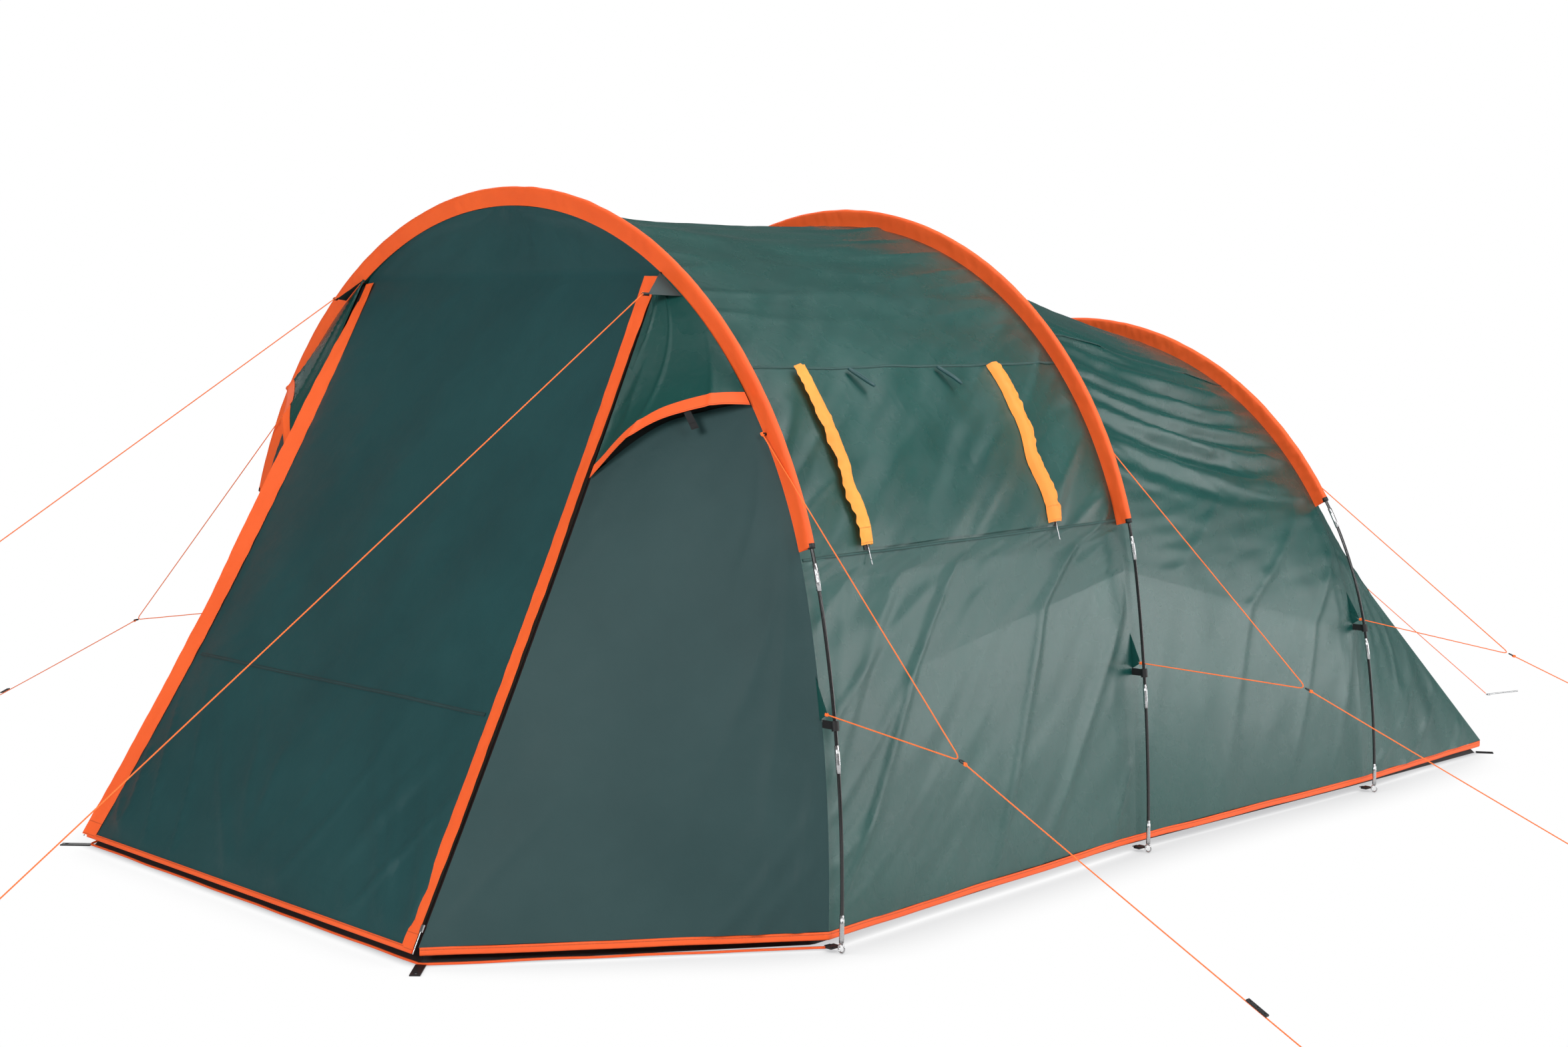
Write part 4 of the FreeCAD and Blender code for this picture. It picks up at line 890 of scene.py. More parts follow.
def build_sleeve(name, gathers, pitch):
    """A pole's orange sleeve, gathered along its stitching, and the tapes round its ends."""
    hoop = HOOP[name]
    start = hoop.angle(SLEEVE_END[name])
    section = sleeve_section(10)
    count = int((pi - 2 * start) * hoop.crown / SLEEVE_GRID)

    def place(u, v):
        angle = start + (pi - 2 * start) * u
        index = min(int(v * (len(section) - 1) + 0.5), len(section) - 1)
        inset, along = section[index]
        run = angle * hoop.crown
        sewn = smooth(inset, -SLEEVE_RADIUS, FLY_INSET)
        ripple = gathers * wander(run / pitch, inset * 18, hoop.y)
        ripple += gathers * 0.6 * wander(run / (pitch * 3), inset * 9, hoop.y + 5)
        rough = 0.0012 * wander(run / 0.05, 3.0, hoop.y)
        wave = ripple * 4 * sewn * (1 - sewn) + (ripple + 0.5 * gathers) * 0.12
        point = hoop.at(angle, inset + (rough if inset < 0 else 0.0))
        return point + hoop.normal * (along + wave)

    piece = cloth_piece(f"{name}_pole_sleeve", count, len(section) - 1, place, ORANGE)
    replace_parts(piece, f"{name}_sleeve")
    tape = SLEEVE_END_TAPE / hoop.crown
    rings = []
    for angle in (start - 0.2 * tape, pi - start - 0.8 * tape):
        points = [hoop.at(angle + tape * k / 3) for k in range(4)]
        rings.append(tube_mesh("sleeve_end", points, SLEEVE_RADIUS + 0.0006, 16))
    joined(f"{name}_sleeve_ends", rings, BLACK_TAPE)


def arch_points(hoop, low, high, step=0.02):
    """Points along the pole between two lengths from its right foot."""
    count = max(2, int((high - low) / step) + 1)
    return [hoop.at(hoop.along(low + (high - low) * k / (count - 1))) for k in range(count)]


def build_poles():
    """The black rods and the ferrules over their joints."""
    ferrules = []
    for name, hoop in HOOP.items():
        foot = hoop.leg * hoop.angle(FOOT_HEIGHT)
        span = (hoop.length() - 2 * foot) / SEGMENTS[name]
        rod = tube_mesh(f"{name}_rod", arch_points(hoop, foot, hoop.length() - foot), ROD_RADIUS, 12)
        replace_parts(link(f"{name}_rod", rod, ROD), f"{name}_pole")
        for index in range(SEGMENTS[name] + 1):
            low = max(foot, foot + index * span - FERRULE_LENGTH / 2)
            low = min(low, hoop.length() - foot - FERRULE_LENGTH)
            points = arch_points(hoop, low, low + FERRULE_LENGTH)
            ferrules.append(tube_mesh("ferrule", points, FERRULE_RADIUS, 14))
    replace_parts(joined("ferrules", ferrules, STEEL), "pole_ferrules")


# ---- front wall

FRONT = HOOP["front"]
CROWN_TOP = FRONT.crown_centre + FRONT.crown - FLY_INSET
ZIP_TOP = FRONT.at(acos(ZIP_TOP_X / (FRONT.crown - FLY_INSET)), FLY_INSET)
ZIP_FOOT = Vector((FRONT_CORNER_X, -END_Y, 0.0))
DOWN_ZIP = (ZIP_FOOT - ZIP_TOP).normalized()
DOOR_OUT = Vector((0, -ZIP_TOP.z, END_Y + ZIP_TOP.y)).normalized()
DOOR_SEAM_HEIGHT = 0.55
DOOR_FOOT = HEM_TOP - 0.01
DOOR_GAP = 0.005
BAND_WIDTH = 0.053
BAND_INNER = 0.055
BAND_FOOT = HEM_TOP - 0.012
ZIP_HALF = 0.007
PATCH_HEIGHTS = (1.652, 1.590)
PATCH_LOOP_RADIUS = 0.0045
LOOP_RADIUS = 0.0042

# How far the zips hang in from a straight line half-way down: towards the door, and to the rear
ZIP_BOW = Vector((-0.016, 0.028, 0.0))

# How far the bands' outer edges stand off the door, at shares of the way up from the hem
BAND_STOPS = [0.0, 0.35, 0.65, 0.88, 1.0]
BAND_LIFTS = {1: [0.006, 0.007, 0.009, 0.004, -0.004], -1: [0.012, 0.018, 0.028, 0.010, -0.010]}


def zip_line(share):
    """The right door zip's line, from its foot at 0 to its top at 1."""
    return ZIP_FOOT.lerp(ZIP_TOP, share) + ZIP_BOW * arc(share)


def on_zip(height):
    """The point of the right door zip at a height."""
    return zip_line(height / ZIP_TOP.z)


def front_base(u, v):
    """The door and the crown above it in one cloth: v is 0 at the hem, 1 at the top."""
    height = DOOR_FOOT + (CROWN_TOP - DOOR_FOOT) * v
    if height < ZIP_TOP.z:
        edge = on_zip(height)
        half, y = edge.x - DOOR_GAP, edge.y
    else:
        up = min(height / cos(FRONT.lean), CROWN_TOP) - FRONT.crown_centre
        reach = FRONT.crown - FLY_INSET
        half = max(0.02, reach * reach - up * up) ** 0.5 if up < reach else 0.02
        y = FRONT.y + height * sin(FRONT.lean)
    bend = 0.010 * exp(-abs(height - ZIP_TOP.z) / 0.07)
    return Vector(((2 * u - 1) * half, y + bend, height))


def front_lift(u, v):
    """The front wall: soft vertical folds, and creases that rise from the door's lower corners."""
    s, h = u * 1.6, v * 2.1
    lift = 0.0100 * folds(s, h, 72, 0.26, 1.1, 31.0)
    lift += 0.0030 * folds(s, h, 25, 0.12, 0.7, 32.0) * smooth(v, 0.5, 0.9)
    low = 1 - smooth(v, 0.05, 0.32)
    lift += 0.0095 * low * creases(s, h, 60, 0.16, 0.9, 33.0) * smooth(u, 0.4, 0.8)
    lift += 0.0075 * low * creases(s, h, 118, 0.14, 0.8, 34.0)
    lift += 0.0012 * folds(s, h, 40, 0.05, 0.12, 35.0)
    return lift * held(u, 0.06) * smooth(1 - v, 0.0, 0.08) * smooth(v, 0.0, 0.04)


FRONT_CLOTH = draped(front_base, front_lift)


def build_front_wall():
    """The front wall: the door and the crown above it in one cloth."""
    wall = slotted("front_wall", grid_mesh("front_wall", 110, 150, FRONT_CLOTH), DOOR_GREEN)
    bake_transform(wall)
    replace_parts(wall, "door_crown", "door_panel")


def build_door_seam():
    """The seam across the door, a flat fell with two rows of stitches."""
    v = (DOOR_SEAM_HEIGHT - DOOR_FOOT) / (CROWN_TOP - DOOR_FOOT)
    seam_on("door_seam", FRONT_CLOTH, lambda t: (0.045 + 0.91 * t, v), 0.010, DOOR_SEAM, "door")


def tab_mesh(high, low, tip, stand_off):
    """A small three-cornered piece of cloth from an edge of the flysheet out to a tip."""

    def place(u, v):
        edge = high.lerp(low, u)
        fold = 0.003 * wander(u * 4, v * 3, high.z * 9)
        return edge.lerp(tip, v * 0.94) + stand_off * (1 - v) + Vector((0, fold * v, 0))

    return grid_mesh("tab", 10, 10, place)


def corner_patch(side):
    """The patch that a front guy pulls on, over the top of a zip, and its loop."""
    tip = mirrored(FRONT_GUY_START, side)
    high, low = [
        mirrored(FRONT.at(FRONT.angle(up, FLY_INSET), FLY_INSET), side) for up in PATCH_HEIGHTS
    ]
    patch = tab_mesh(high, low, tip.lerp(low, 0.12), Vector((0, -0.008, 0.002)))
    loop = [tip.lerp(low, 0.16), tip, tip + Vector((0, -0.003, -0.003))]
    return patch, tube_mesh("loop", loop, PATCH_LOOP_RADIUS, 8)


def clip_gusset(name, side):
    """The gusset from the flysheet out to a pole's clip, and the loop of the bridle above it."""
    hoop = HOOP[name]
    clip, guy = CLIP_HEIGHT[name], GUY_HEIGHT[name]
    tip = hoop_point(name, side, clip + LOW_GUY_RISE, CLIP_INSET, 0.0075)
    high, low = [hoop_point(name, side, clip + up, FLY_INSET + 0.002, 0.001) for up in (0.115, 0.008)]
    gusset = tab_mesh(high, low, tip, hoop.normal * (GUY_SIDE[name] * 0.004))
    start, out = [hoop_point(name, side, guy, GUY_INSET, off) for off in (0.001, 0.0135)]
    return gusset, tube_mesh("loop", [start, out], LOOP_RADIUS, 8)


def build_tabs():
    """The reinforced corners that the guys pull on: over each zip, at the sleeves and at the clips."""
    patches, gussets, loops = [], [], []
    for side in (1, -1):
        patch, loop = corner_patch(side)
        patches.append(patch)
        loops.append(loop)
        for name in HOOP:
            gusset, loop = clip_gusset(name, side)
            gussets.append(gusset)
            loops.append(loop)
    joined("corner_patches", patches, PATCH_GREEN)
    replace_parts(joined("clip_gussets", gussets, GREEN), "guy_tabs")
    joined("guy_loops", loops, BLACK_TAPE)


def band_place(side):
    """The orange flap down one edge of the door, its outer edge lifted off the door."""

    def place(s, t):
        height = BAND_FOOT + (ZIP_TOP.z - HEM_TOP) * t
        edge = on_zip(height)
        wave = 0.004 * wander(height * 5, side * 3.0, 1.0)
        ripple = 0.0018 * wander(height * 28, s * 2, side * 9.0)
        lift = 0.0035 + table(t, BAND_STOPS, BAND_LIFTS[side]) * s + ripple + wave * s
        inner = Vector((side * (edge.x - BAND_INNER), edge.y, edge.z))
        return inner + Vector((side * BAND_WIDTH * s, 0, 0)) + DOOR_OUT * lift

    return place


def build_bands():
    """The two orange bands, which go with the door."""
    bands = [
        cloth_piece(f"{name}_door_band", 8, 150, band_place(side), ORANGE_TAPE, "door", side < 0)
        for side, name in SIDES
    ]
    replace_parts(bands[0], "door_bands")


def door_zip_mesh(side):
    """The tape of a door zip, which stays on the tent."""
    across = DOWN_ZIP.cross(DOOR_OUT).normalized()
    across = across if across.x > 0 else -across

    def place(s, t):
        height = HEM_TOP + (ZIP_TOP.z - 0.02 - HEM_TOP) * t
        point = on_zip(height) + across * (ZIP_HALF * (2 * s - 1)) - DOOR_OUT * 0.002
        return mirrored(point, side)

    return grid_mesh("door_zip", 4, 80, place, side < 0)


# ---- front side panels

# Shares up the side panel, with the matching shares of the zip and angles on the arch
PANEL_STOPS = [0.0, 0.47, 0.74, 0.955, 1.0]
PANEL_ZIP_SHARES = [HEM_TOP / ZIP_TOP.z, 0.47, 0.74, 0.955, 1.0]
PANEL_ANGLES = [FRONT.angle(up, FLY_INSET) for up in (HEM_TOP, 1.355, 1.640, ZIP_TOP.z)]
PANEL_ANGLES.insert(1, FRONT.turn)


def panel_base(u, v):
    """The right front side panel: u from the zip to the pole, v from the hem to the top."""
    zip_point = zip_line(table(v, PANEL_STOPS, PANEL_ZIP_SHARES)) + Vector((DOOR_GAP, 0, 0))
    arch_point = FRONT.at(table(v, PANEL_STOPS, PANEL_ANGLES), FLY_INSET)
    return zip_point.lerp(arch_point, u)


def hood_edge(u):
    """The share up the panel of the vent hood's free edge, an arch that falls to both sides."""
    return 0.728 - (0.19 if u < 0.5 else 0.05) * (u - 0.5) ** 2


def panel_lift(u, v):
    """A side panel: soft vertical folds, with creases beside the pole and above the hem."""
    s, h = u * 0.75, v * 1.75
    beside = smooth(u, 0.6, 0.95) * (1 - smooth(v, 0.45, 0.7))
    lift = 0.0080 * folds(s, h, 80, 0.20, 1.0, 41.0)
    lift += 0.0120 * beside * creases(s, h, 78, 0.12, 0.9, 42.0)
    lift += 0.0060 * (1 - smooth(v, 0.05, 0.3)) * creases(s, h, 55, 0.14, 0.8, 43.0)
    lift += 0.0010 * folds(s, h, 30, 0.05, 0.12, 44.0)
    return lift * held(u, 0.10, 0.06)


def hood_lift(u, v):
    """The vent's hood, which its strap holds out at the free edge."""
    below = max(0.0, v - hood_edge(u))
    bulge = 0.042 * exp(-below / 0.060) * smooth(u, -0.05, 0.25) * smooth(1 - u, -0.1, 0.2)
    s, h = u * 0.5, v * 1.75
    return bulge + 0.004 + 0.005 * creases(s, h, 62, 0.12, 0.6, 45.0) * held(u, 0.3, 0.2)


PANEL_CLOTH = draped(panel_base, panel_lift)
HOOD_CLOTH = draped(panel_base, hood_lift)


def build_hood(side, name, net):
    """A vent's hood with its strap and its orange rim; the net, the mesh behind it, is not used."""
    shape = on_side(HOOD_CLOTH, side)

    def hood_at(u, v):
        low = hood_edge(u)
        return shape(u, low + (1 - low) * v)

    def strap_at(u, v):
        share = 0.60 + 0.045 * u + 0.03 * (1 - v)
        return shape(share, 0.700 + 0.030 * v, -0.012 * (1 - v) - 0.002)

    def rim_at(u, v):
        return shape(u, hood_edge(u) - 0.002 + 0.020 * v, 0.0015)

    hood = cloth_piece(f"{name}_hood", 50, 50, hood_at, GREEN, flip=side < 0)
    strap = cloth_piece(f"{name}_hood_strap", 3, 8, strap_at, BLACK_TAPE, flip=side < 0)
    rim = cloth_piece(f"{name}_hood_rim", 60, 5, rim_at, ORANGE_TAPE, flip=side < 0)
    return hood


def build_side_panels():
    """The panels beside the door, each with its vent."""
    panels, hoods, nets = [], [], []
    for side, name in SIDES:
        shape = on_side(PANEL_CLOTH, side)

        def panel_at(u, v, shape=shape):
            return shape(u, (hood_edge(u) + 0.004) * v)

        def net_at(u, v, shape=shape):
            return shape(u, 0.70 + 0.27 * v, -0.004)

        panel = cloth_piece(f"{name}_side_panel", 60, 110, panel_at, PANEL_GREEN, flip=side < 0)
        panels.append(panel)
        nets.append(cloth_piece(f"{name}_vent_net", 24, 24, net_at, MESH, flip=side < 0))
        hoods.append(build_hood(side, name, nets[-1]))
    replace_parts(panels[0], "front_panels")
    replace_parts(nets[0], "vent_meshes")
    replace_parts(hoods[0], "vent_hoods")


# ---- back

REAR = HOOP["rear"]


def back_base(u, v):
    """The sloping back: u from right to left, v from the ground line to the rear arch."""
    low = REAR.angle(BACK_EDGE_HEIGHT, FLY_INSET)
    arch = REAR.at(low + (pi - 2 * low) * u, FLY_INSET)
    ground = Vector((REAR_CORNER_X * (1 - 2 * u), END_Y, HEM_TOP))
    return ground.lerp(arch, v)


def back_lift(u, v):
    """The back's slack middle with its folds and creases."""
    s, h = u * 2.3, v * 1.6
    edge = held(u, 0.05) * smooth(1 - v, 0.0, 0.06)
    lift = -0.020 * 16 * u * (1 - u) * v * (1 - v) / 4
    lift += 0.009 * creases(s, h, 80, 0.30, 1.6, 51.0) + 0.014 * folds(s, h, 84, 0.35, 1.4, 55.0)
    lift += 0.006 * folds(s, h, 60, 0.10, 0.5, 52.0)
    return lift * edge


def back_side_base(u, v):
    """The right triangle between the rear pole's leg and the back: u from the pole to the back."""
    low, high = REAR.angle(HEM_TOP, FLY_INSET), REAR.angle(BACK_EDGE_HEIGHT, FLY_INSET)
    angle = table(v, [0.0, 0.6, 1.0], [low, REAR.turn, high])
    corner = Vector((REAR_CORNER_X, END_Y, HEM_TOP))
    return REAR.at(angle, FLY_INSET).lerp(corner.lerp(REAR.at(high, FLY_INSET), v), u)


def back_side_lift(u, v):
    """The triangle's creases, which fade towards its top."""
    s, h = u * 0.9, v * 0.8
    lift = 0.006 * creases(s, h, 25, 0.14, 0.8, 53.0) + 0.005 * folds(s, h, 60, 0.10, 0.4, 54.0)
    return lift * held(u, 0.1) * (1 - v)


def build_back():
    """The back wall and the triangles beside it."""
    wall = cloth_piece("back_wall_cloth", 130, 100, draped(back_base, back_lift), GREEN)
    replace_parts(wall, "back_wall")
    panels = []
    for side, name in SIDES:
        place = on_side(draped(back_side_base, back_side_lift), side)
        panel = cloth_piece(f"{name}_back_side", 56, 50, place, GREEN, flip=side < 0)
        panels.append(panel)
    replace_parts(panels[0], "back_side_panels")


# ---- hem and groundsheet

# How far the tent's hem passes the zips, and how far the door's hem stays clear of them
HEM_LAP = 0.009


def hem_corners(inset=0.0, side_inset=0.0):
    """The corners of the right hem, moved in at the front and back by one inset, at the poles by
    another."""
    corner = on_zip(HEM_TOP)
    points = [Vector((corner.x + HEM_LAP - inset, corner.y + inset, 0))]
    for hoop in HOOP.values():
        level = hoop.at(hoop.angle(HEM_TOP, FLY_INSET), FLY_INSET)
        points.append(Vector((level.x - side_inset, level.y, 0)))
    points.append(Vector((REAR_CORNER_X - inset, END_Y - inset, 0)))
    return points


def outline(inset=0.0, side_inset=0.0):
    """All corners of the hem, from the right front round the back to the left front."""
    right = hem_corners(inset, side_inset)
    return right + [mirrored(point, -1) for point in reversed(right)]


def walk(points, share):
    """The point and the outward direction at a share of the way along a line of corners."""
    lengths = [(b - a).length for a, b in zip(points, points[1:])]
    rest = share * sum(lengths)
    for start, end, length in zip(points, points[1:], lengths):
        if rest <= length or end is points[-1]:
            run = (end - start).normalized()
            return start.lerp(end, min(1.0, rest / length)), Vector((run.y, -run.x, 0))
        rest -= length


def build_hem():
    """The orange binding along the hem, and the door's own piece of it."""
    line = outline()
    low_edge = on_zip(DOOR_FOOT)

    def place(u, v):
        point, out = walk(line, u)
        loop = tau * v
        wave = 0.0035 * wander(u * 45, 2.0, 0.5)
        drop = 0.0020 * wander(u * 60, 7.0, 0.5)
        point = point + out * (wave + 0.0014 * cos(loop))
        return Vector((point.x, point.y, HEM_TOP - HEM_DEPTH / 2 + drop + 0.5 * HEM_DEPTH * sin(loop)))

    def door_place(u, v):
        loop = tau * v
        wave = 0.002 * wander(u * 9, 4.0, 0.5)
        out = DOOR_OUT * (0.003 + wave + 0.0020 * cos(loop)) - DOWN_ZIP * (0.0075 * sin(loop))
        middle = Vector(((2 * u - 1) * (low_edge.x - HEM_LAP), low_edge.y, low_edge.z))
        return middle + Vector((0, out.y, out.z))

    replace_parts(cloth_piece("hem_tape", 900, 8, place, ORANGE_HEM), "hem_binding")
    cloth_piece("door_hem", 160, 8, door_place, ORANGE_HEM, "door")


# The groundsheet's insets from the hem, at its ends and at the poles
WALL_FOOT_INSETS = (0.010, 0.055)
WALL_TOP_INSETS = (0.055, 0.095)
FLOOR_INSETS = (0.014, 0.059)
BINDING_INSETS = (0.005, 0.005)
WALL_RISE = 0.076


def build_groundsheet():
    """The black groundsheet: its low wall, the orange binding along the front and the floor."""
    low, high = outline(*WALL_FOOT_INSETS), outline(*WALL_TOP_INSETS)
    low.append(low[0])
    high.append(high[0])
    corners = hem_corners(*BINDING_INSETS)[:2]
    front = [mirrored(point, -1) for point in reversed(corners)] + corners

    def wall(u, v):
        foot, out = walk(low, u)
        top, _ = walk(high, u)
        fold = 0.006 * wander(u * 60, v, 0.3) * v
        point = foot.lerp(top, v) - out * (abs(fold) + 0.001)
        return Vector((point.x, point.y, 0.001 + WALL_RISE * v + 0.003 * wander(u * 40, 9.0, v) * v))

    def binding(u, v):
        point, out = walk(front, u)
        turn = tau * v
        rise = 0.0042 + 0.0020 * wander(u * 25, 3.0, 0.5)
        return point + out * (0.0018 * cos(turn)) + Vector((0, 0, rise + 0.0034 * sin(turn)))

    def floor(u, v):
        right = walk(hem_corners(*FLOOR_INSETS), v)[0]
        return Vector((right.x * (1 - 2 * u), right.y, 0.002 + 0.0008 * wander(u * 8, v * 12, 0.0)))

    low_wall = cloth_piece("ground_wall", 700, 6, wall, GROUND)
    cloth_piece("ground_binding", 260, 8, binding, ORANGE_HEM)
    ground = cloth_piece("ground_cloth", 60, 90, floor, GROUND)
    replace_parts(ground, "groundsheet")


# ---- bedroom

BEDROOM_INSET = 0.130
BEDROOM_FRONT_Y = 0.118
BEDROOM_BACK = (1.010, 2.020)
BEDROOM_FOOT = 0.008
BEDROOM_FRONT = Hoop(**dict(HOOPS["mid"], y=BEDROOM_FRONT_Y))
BEDROOM_TOP = BEDROOM_FRONT.crown_centre + BEDROOM_FRONT.crown - BEDROOM_INSET

# The doorway is an upright with a round top: its middle, sill, start of the arc and half-width
DOORWAY_X, DOORWAY_SILL, DOORWAY_SPRING, DOORWAY_HALF = -0.17, 0.146, 0.92, 0.334
LEAF_SILL, LEAF_HEIGHT, LEAF_HALF = 0.15, 1.098, 0.33


def bedroom_lift(u, v):
    """The bedroom's walls hang a little slack between the arches."""
    s, h = u * 1.17, v * 2.4
    return held(u) * (0.014 * folds(s, h, 10, 0.22, 0.8, 61.0) - 0.02 * 4 * u * (1 - u))


def bedroom_back(u, v):
    """The bedroom's sloping back: u from right to left, v from the floor to the rear arch."""
    low = REAR.angle(BEDROOM_FOOT, BEDROOM_INSET)
    arch = REAR.at(low + (pi - 2 * low) * u, BEDROOM_INSET)
    foot = Vector((BEDROOM_BACK[0] * (1 - 2 * u), BEDROOM_BACK[1], BEDROOM_FOOT))
    return foot.lerp(arch, v) + Vector((0, 0.008 * wander(u * 9, v * 5, 4.0), 0))


def bedroom_front(u, v):
    """The bedroom's upright front: u from left to right, v from the floor to the top."""
    z = BEDROOM_FOOT + (BEDROOM_TOP - 0.009) * v
    angle = BEDROOM_FRONT.angle(min(z, BEDROOM_TOP - 0.0005), BEDROOM_INSET)
    half = BEDROOM_FRONT.at(angle, BEDROOM_INSET).x
    return Vector(((2 * u - 1) * half, BEDROOM_FRONT_Y + 0.002 * wander(u * 7, z * 4, 1.0), z))


def in_doorway(u, v):
    """Whether a point of the bedroom's front is in its doorway."""
    point = bedroom_front(u, v)
    across, up = point.x - DOORWAY_X, point.z - DOORWAY_SPRING
    if abs(across) > DOORWAY_HALF or point.z < DOORWAY_SILL:
        return False
    return up < 0 or across ** 2 + up ** 2 < DOORWAY_HALF ** 2


def bedroom_leaf(u, v):
    """The bedroom's door: u from its hinge to its free edge, v from the sill up."""
    z = LEAF_SILL + LEAF_HEIGHT * v
    round_top = max(0.004, LEAF_HALF ** 2 - (z - DOORWAY_SPRING) ** 2) ** 0.5
    half = LEAF_HALF if z < DOORWAY_SPRING else round_top
    forward = 0.008 - 0.002 * wander(u * 5, z * 4, 2.0)
    y = BEDROOM_FRONT_Y - smooth(u, 0.0, 0.15) * forward
    return Vector((DOORWAY_X + (2 * u - 1) * half, y, z))


def bedroom_floor(u, v):
    """The bedroom's floor: u from right to left, v from the front to the back."""
    inset = BEDROOM_INSET + 0.003
    edge = [hoop.at(hoop.angle(0.006, inset), inset) for hoop in (BEDROOM_FRONT, REAR)]
    edge.append(Vector((BEDROOM_BACK[0] - 0.003, BEDROOM_BACK[1] - 0.003, 0)))
    right = walk(edge, v)[0]
    return Vector((right.x * (1 - 2 * u), right.y, 0.0038 + 0.0004 * wander(u * 9, v * 9, 5.0)))


def build_bedroom():
    """The inner bedroom, which hangs from the middle and rear arches."""
    feet = [(0.0, BEDROOM_FOOT, BEDROOM_FOOT)]
    shell = draped(bay_base(BEDROOM_FRONT, REAR, feet, BEDROOM_INSET), bedroom_lift)
    walls = cloth_piece("bedroom_shell", 40, 140, doubled(shell), INNER)
    rear = cloth_piece("bedroom_rear", 60, 40, bedroom_back, INNER)
    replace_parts(rear, "bedroom_walls")
    screen = cloth_piece("bedroom_screen", 150, 150, bedroom_front, INNER, hole=in_doorway)
    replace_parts(screen, "bedroom_front")
    leaf = cloth_piece("bedroom_leaf", 40, 60, bedroom_leaf, INNER, "bedroom_door")
    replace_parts(leaf, "bedroom_door")
    ground = cloth_piece("bedroom_ground", 50, 50, bedroom_floor, GROUND)
    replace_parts(ground, "bedroom_floor")


# ---- guy lines

CORD_RADIUS = 0.0016
GUY_SIDE = {"front": -1.0, "mid": 1.0, "rear": 1.0}
GUY_HEIGHT = {"front": 1.246, "mid": 1.221, "rear": 1.055}
CLIP_HEIGHT = {"front": 0.549, "mid": 0.522, "rear": 0.538}
GUY_RING = {
    "right_front": (1.813, -1.321, 0.521),
    "right_mid": (1.768, 0.140, 0.525),
    "right_rear": (1.697, 1.375, 0.494),
    "left_front": (-2.008, -1.399, 0.487),
    "left_mid": (-1.768, 0.140, 0.525),
    "left_rear": (-1.697, 1.375, 0.494),
}
GUY_PEG = {
    "right_front": (2.791, -1.263, 0.006),
    "right_mid": (2.885, 0.341, 0.006),
    "right_rear": (2.886, 1.612, 0.006),
    "left_front": (-3.221, -1.520, 0.006),
    "left_mid": (-2.885, 0.341, 0.006),
    "left_rear": (-2.886, 1.612, 0.006),
    "front_right": (1.010, -3.760, 0.006),
    "front_left": (-1.080, -3.700, 0.006),
    "back": (0.500, 3.380, 0.006),
}
FRONT_GUY_START = (0.737, -1.372, 1.596)
BACK_GUY_START = (0.0, 1.336, 1.484)
LOW_GUY_RISE = 0.026
GUY_INSET = 0.038
CLIP_INSET = 0.016
RING_REACH = 0.0131
NEAR_RING = 0.056
SIDE_GUY_SAG = 0.004
SINGLE_GUY_SAG = 0.006

# A knot's mean radius, how far its strand swings in and out, and its half-length along the cord
KNOT_RADIUS, KNOT_SWING, KNOT_REACH = 0.0021, 0.0013, 0.0042


def hoop_point(name, side, height, inset, stand_off):
    """A point beside a pole: its height, how far inside the pole and how far off its plane."""
    hoop = HOOP[name]
    point = hoop.at(hoop.angle(height, inset), inset) + hoop.normal * (GUY_SIDE[name] * stand_off)
    return mirrored(point, side)


def cord_curve(name, points):
    """A smooth cord along given points."""
    curve = bpy.data.curves.new(name, "CURVE")
    curve.dimensions = "3D"
    curve.bevel_depth = CORD_RADIUS
    curve.bevel_resolution = 3
    curve.use_fill_caps = True
    spline = curve.splines.new("NURBS")
    spline.points.add(len(points) - 1)
    for target, point in zip(spline.points, points):
        target.co = (*point, 1)
    spline.order_u = 3
    spline.use_endpoint_u = True
    spline.resolution_u = 12
    return link(name, curve, CORD)


def knot(at, towards):
    """A small overhand knot pulled tight on a cord that runs on towards a point."""
    along = (towards - at).normalized()
    across = along.orthogonal().normalized()
    other = along.cross(across)
    points = []
    for k in range(49):
        turn = tau * k / 48
        ring = KNOT_RADIUS + KNOT_SWING * cos(3 * turn)
        point = at + across * (ring * cos(2 * turn)) + other * (ring * sin(2 * turn))
        points.append(point + along * (KNOT_REACH * sin(3 * turn)))
    return tube_mesh("knot", points, CORD_RADIUS, 8, ends=False)


def line_to_peg(name, start, peg, sag):
    """A guy's long run, almost straight, from its start to its peg."""
    return cord_curve(f"{name}_line", [start, start.lerp(peg, 0.5) - Vector((0, 0, sag)), peg])


def declare_line(line, name, start, peg, *more):
    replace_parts(line, f"{name}_guy")


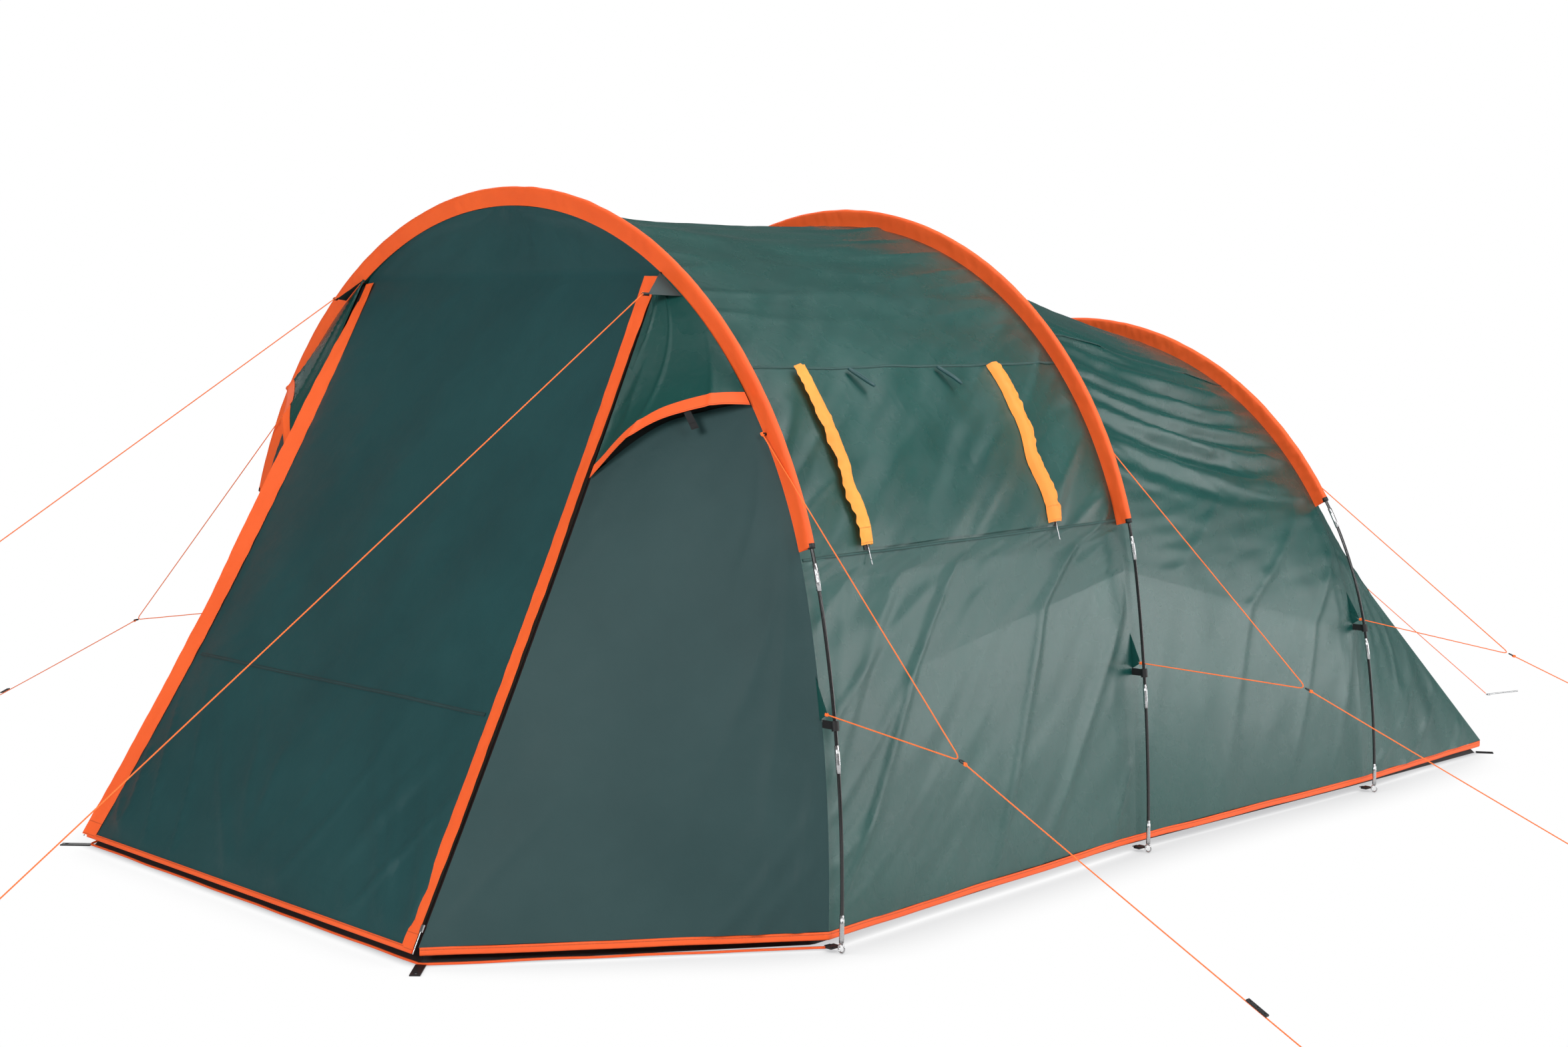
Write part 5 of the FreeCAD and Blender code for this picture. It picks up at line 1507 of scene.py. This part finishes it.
def build_side_guy(name):
    """A side guy: a bridle through a ring, and the line from the ring to its peg."""
    side_name, hoop_name = name.split("_")
    side = 1 if side_name == "right" else -1
    ring, peg = Vector(GUY_RING[name]), Vector(GUY_PEG[name])
    start = hoop_point(hoop_name, side, GUY_HEIGHT[hoop_name], GUY_INSET, 0.014)
    low = hoop_point(hoop_name, side, CLIP_HEIGHT[hoop_name] + LOW_GUY_RISE, CLIP_INSET, 0.0095)
    near_start = ring + (start - ring).normalized() * NEAR_RING
    near_low = ring + (low - ring).normalized() * NEAR_RING
    bridle_points = [start, start.lerp(ring, 0.5), near_start, ring, near_low, low.lerp(ring, 0.4), low]
    bridle = cord_curve(f"{name}_bridle", bridle_points)
    first = ring + (peg - ring).normalized() * RING_REACH
    line = line_to_peg(name, first, peg, SIDE_GUY_SAG)
    tied = joined(f"{name}_knots", [knot(first, peg), knot(start, ring), knot(low, ring)], CORD)
    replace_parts(bridle, f"{name}_guy")
    declare_line(line, name, first, peg)


def build_single_guy(name, start):
    """A guy that runs straight from the tent to its peg."""
    peg = Vector(GUY_PEG[name])
    line = line_to_peg(name, start, peg, SINGLE_GUY_SAG)
    declare_line(line, name, start, peg, joined(f"{name}_knot", [knot(start, peg)], CORD))


def build_guys():
    """All nine guys."""
    for name in GUY_RING:
        build_side_guy(name)
    for side, name in SIDES:
        build_single_guy(f"front_{name}", mirrored(FRONT_GUY_START, side))
    build_single_guy("back", Vector(BACK_GUY_START))


# ---- everything


def repaint(names, material):
    """Gives CAD nodes that stay a better material and smooth shading."""
    for name in names:
        node = frame["nodes"][name]
        node.data.materials.clear()
        node.data.materials.append(material)
        node.data.polygons.foreach_set("use_smooth", [True] * len(node.data.polygons))


def repaint_frame():
    """The hardware of the CAD model: tensioners, rings, sliders, pins, pegs, webbing and cords."""
    nodes = frame["nodes"]
    repaint([name for name in nodes if "tensioner" in name] + ["guy_rings"], PLASTIC)
    repaint([name for name in nodes if "slider" in name], STEEL)
    repaint(["ring_and_pins", "ground_pegs"], STEEL)
    repaint(["leg_webbing", "corner_loops"], BLACK_TAPE)
    repaint(["shock_cords"], ELASTIC)


def main():
    """The whole tent; the camera and the cords come first."""
    add_studio()
    add_camera()
    build_guys()
    build_bays()
    build_seams()
    tapes = build_windows()
    build_front_wall()
    build_door_seam()
    build_tabs()
    build_bands()
    build_side_panels()
    build_back()
    build_hem()
    build_groundsheet()
    build_bedroom()
    build_sleeve("front", 0.0022, 0.030)
    build_sleeve("mid", 0.0028, 0.024)
    build_sleeve("rear", 0.0050, 0.013)
    build_poles()
    tapes += [door_zip_mesh(1), door_zip_mesh(-1)]
    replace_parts(joined("zips", tapes, BLACK_TAPE), "zip_tapes")
    repaint_frame()


main()
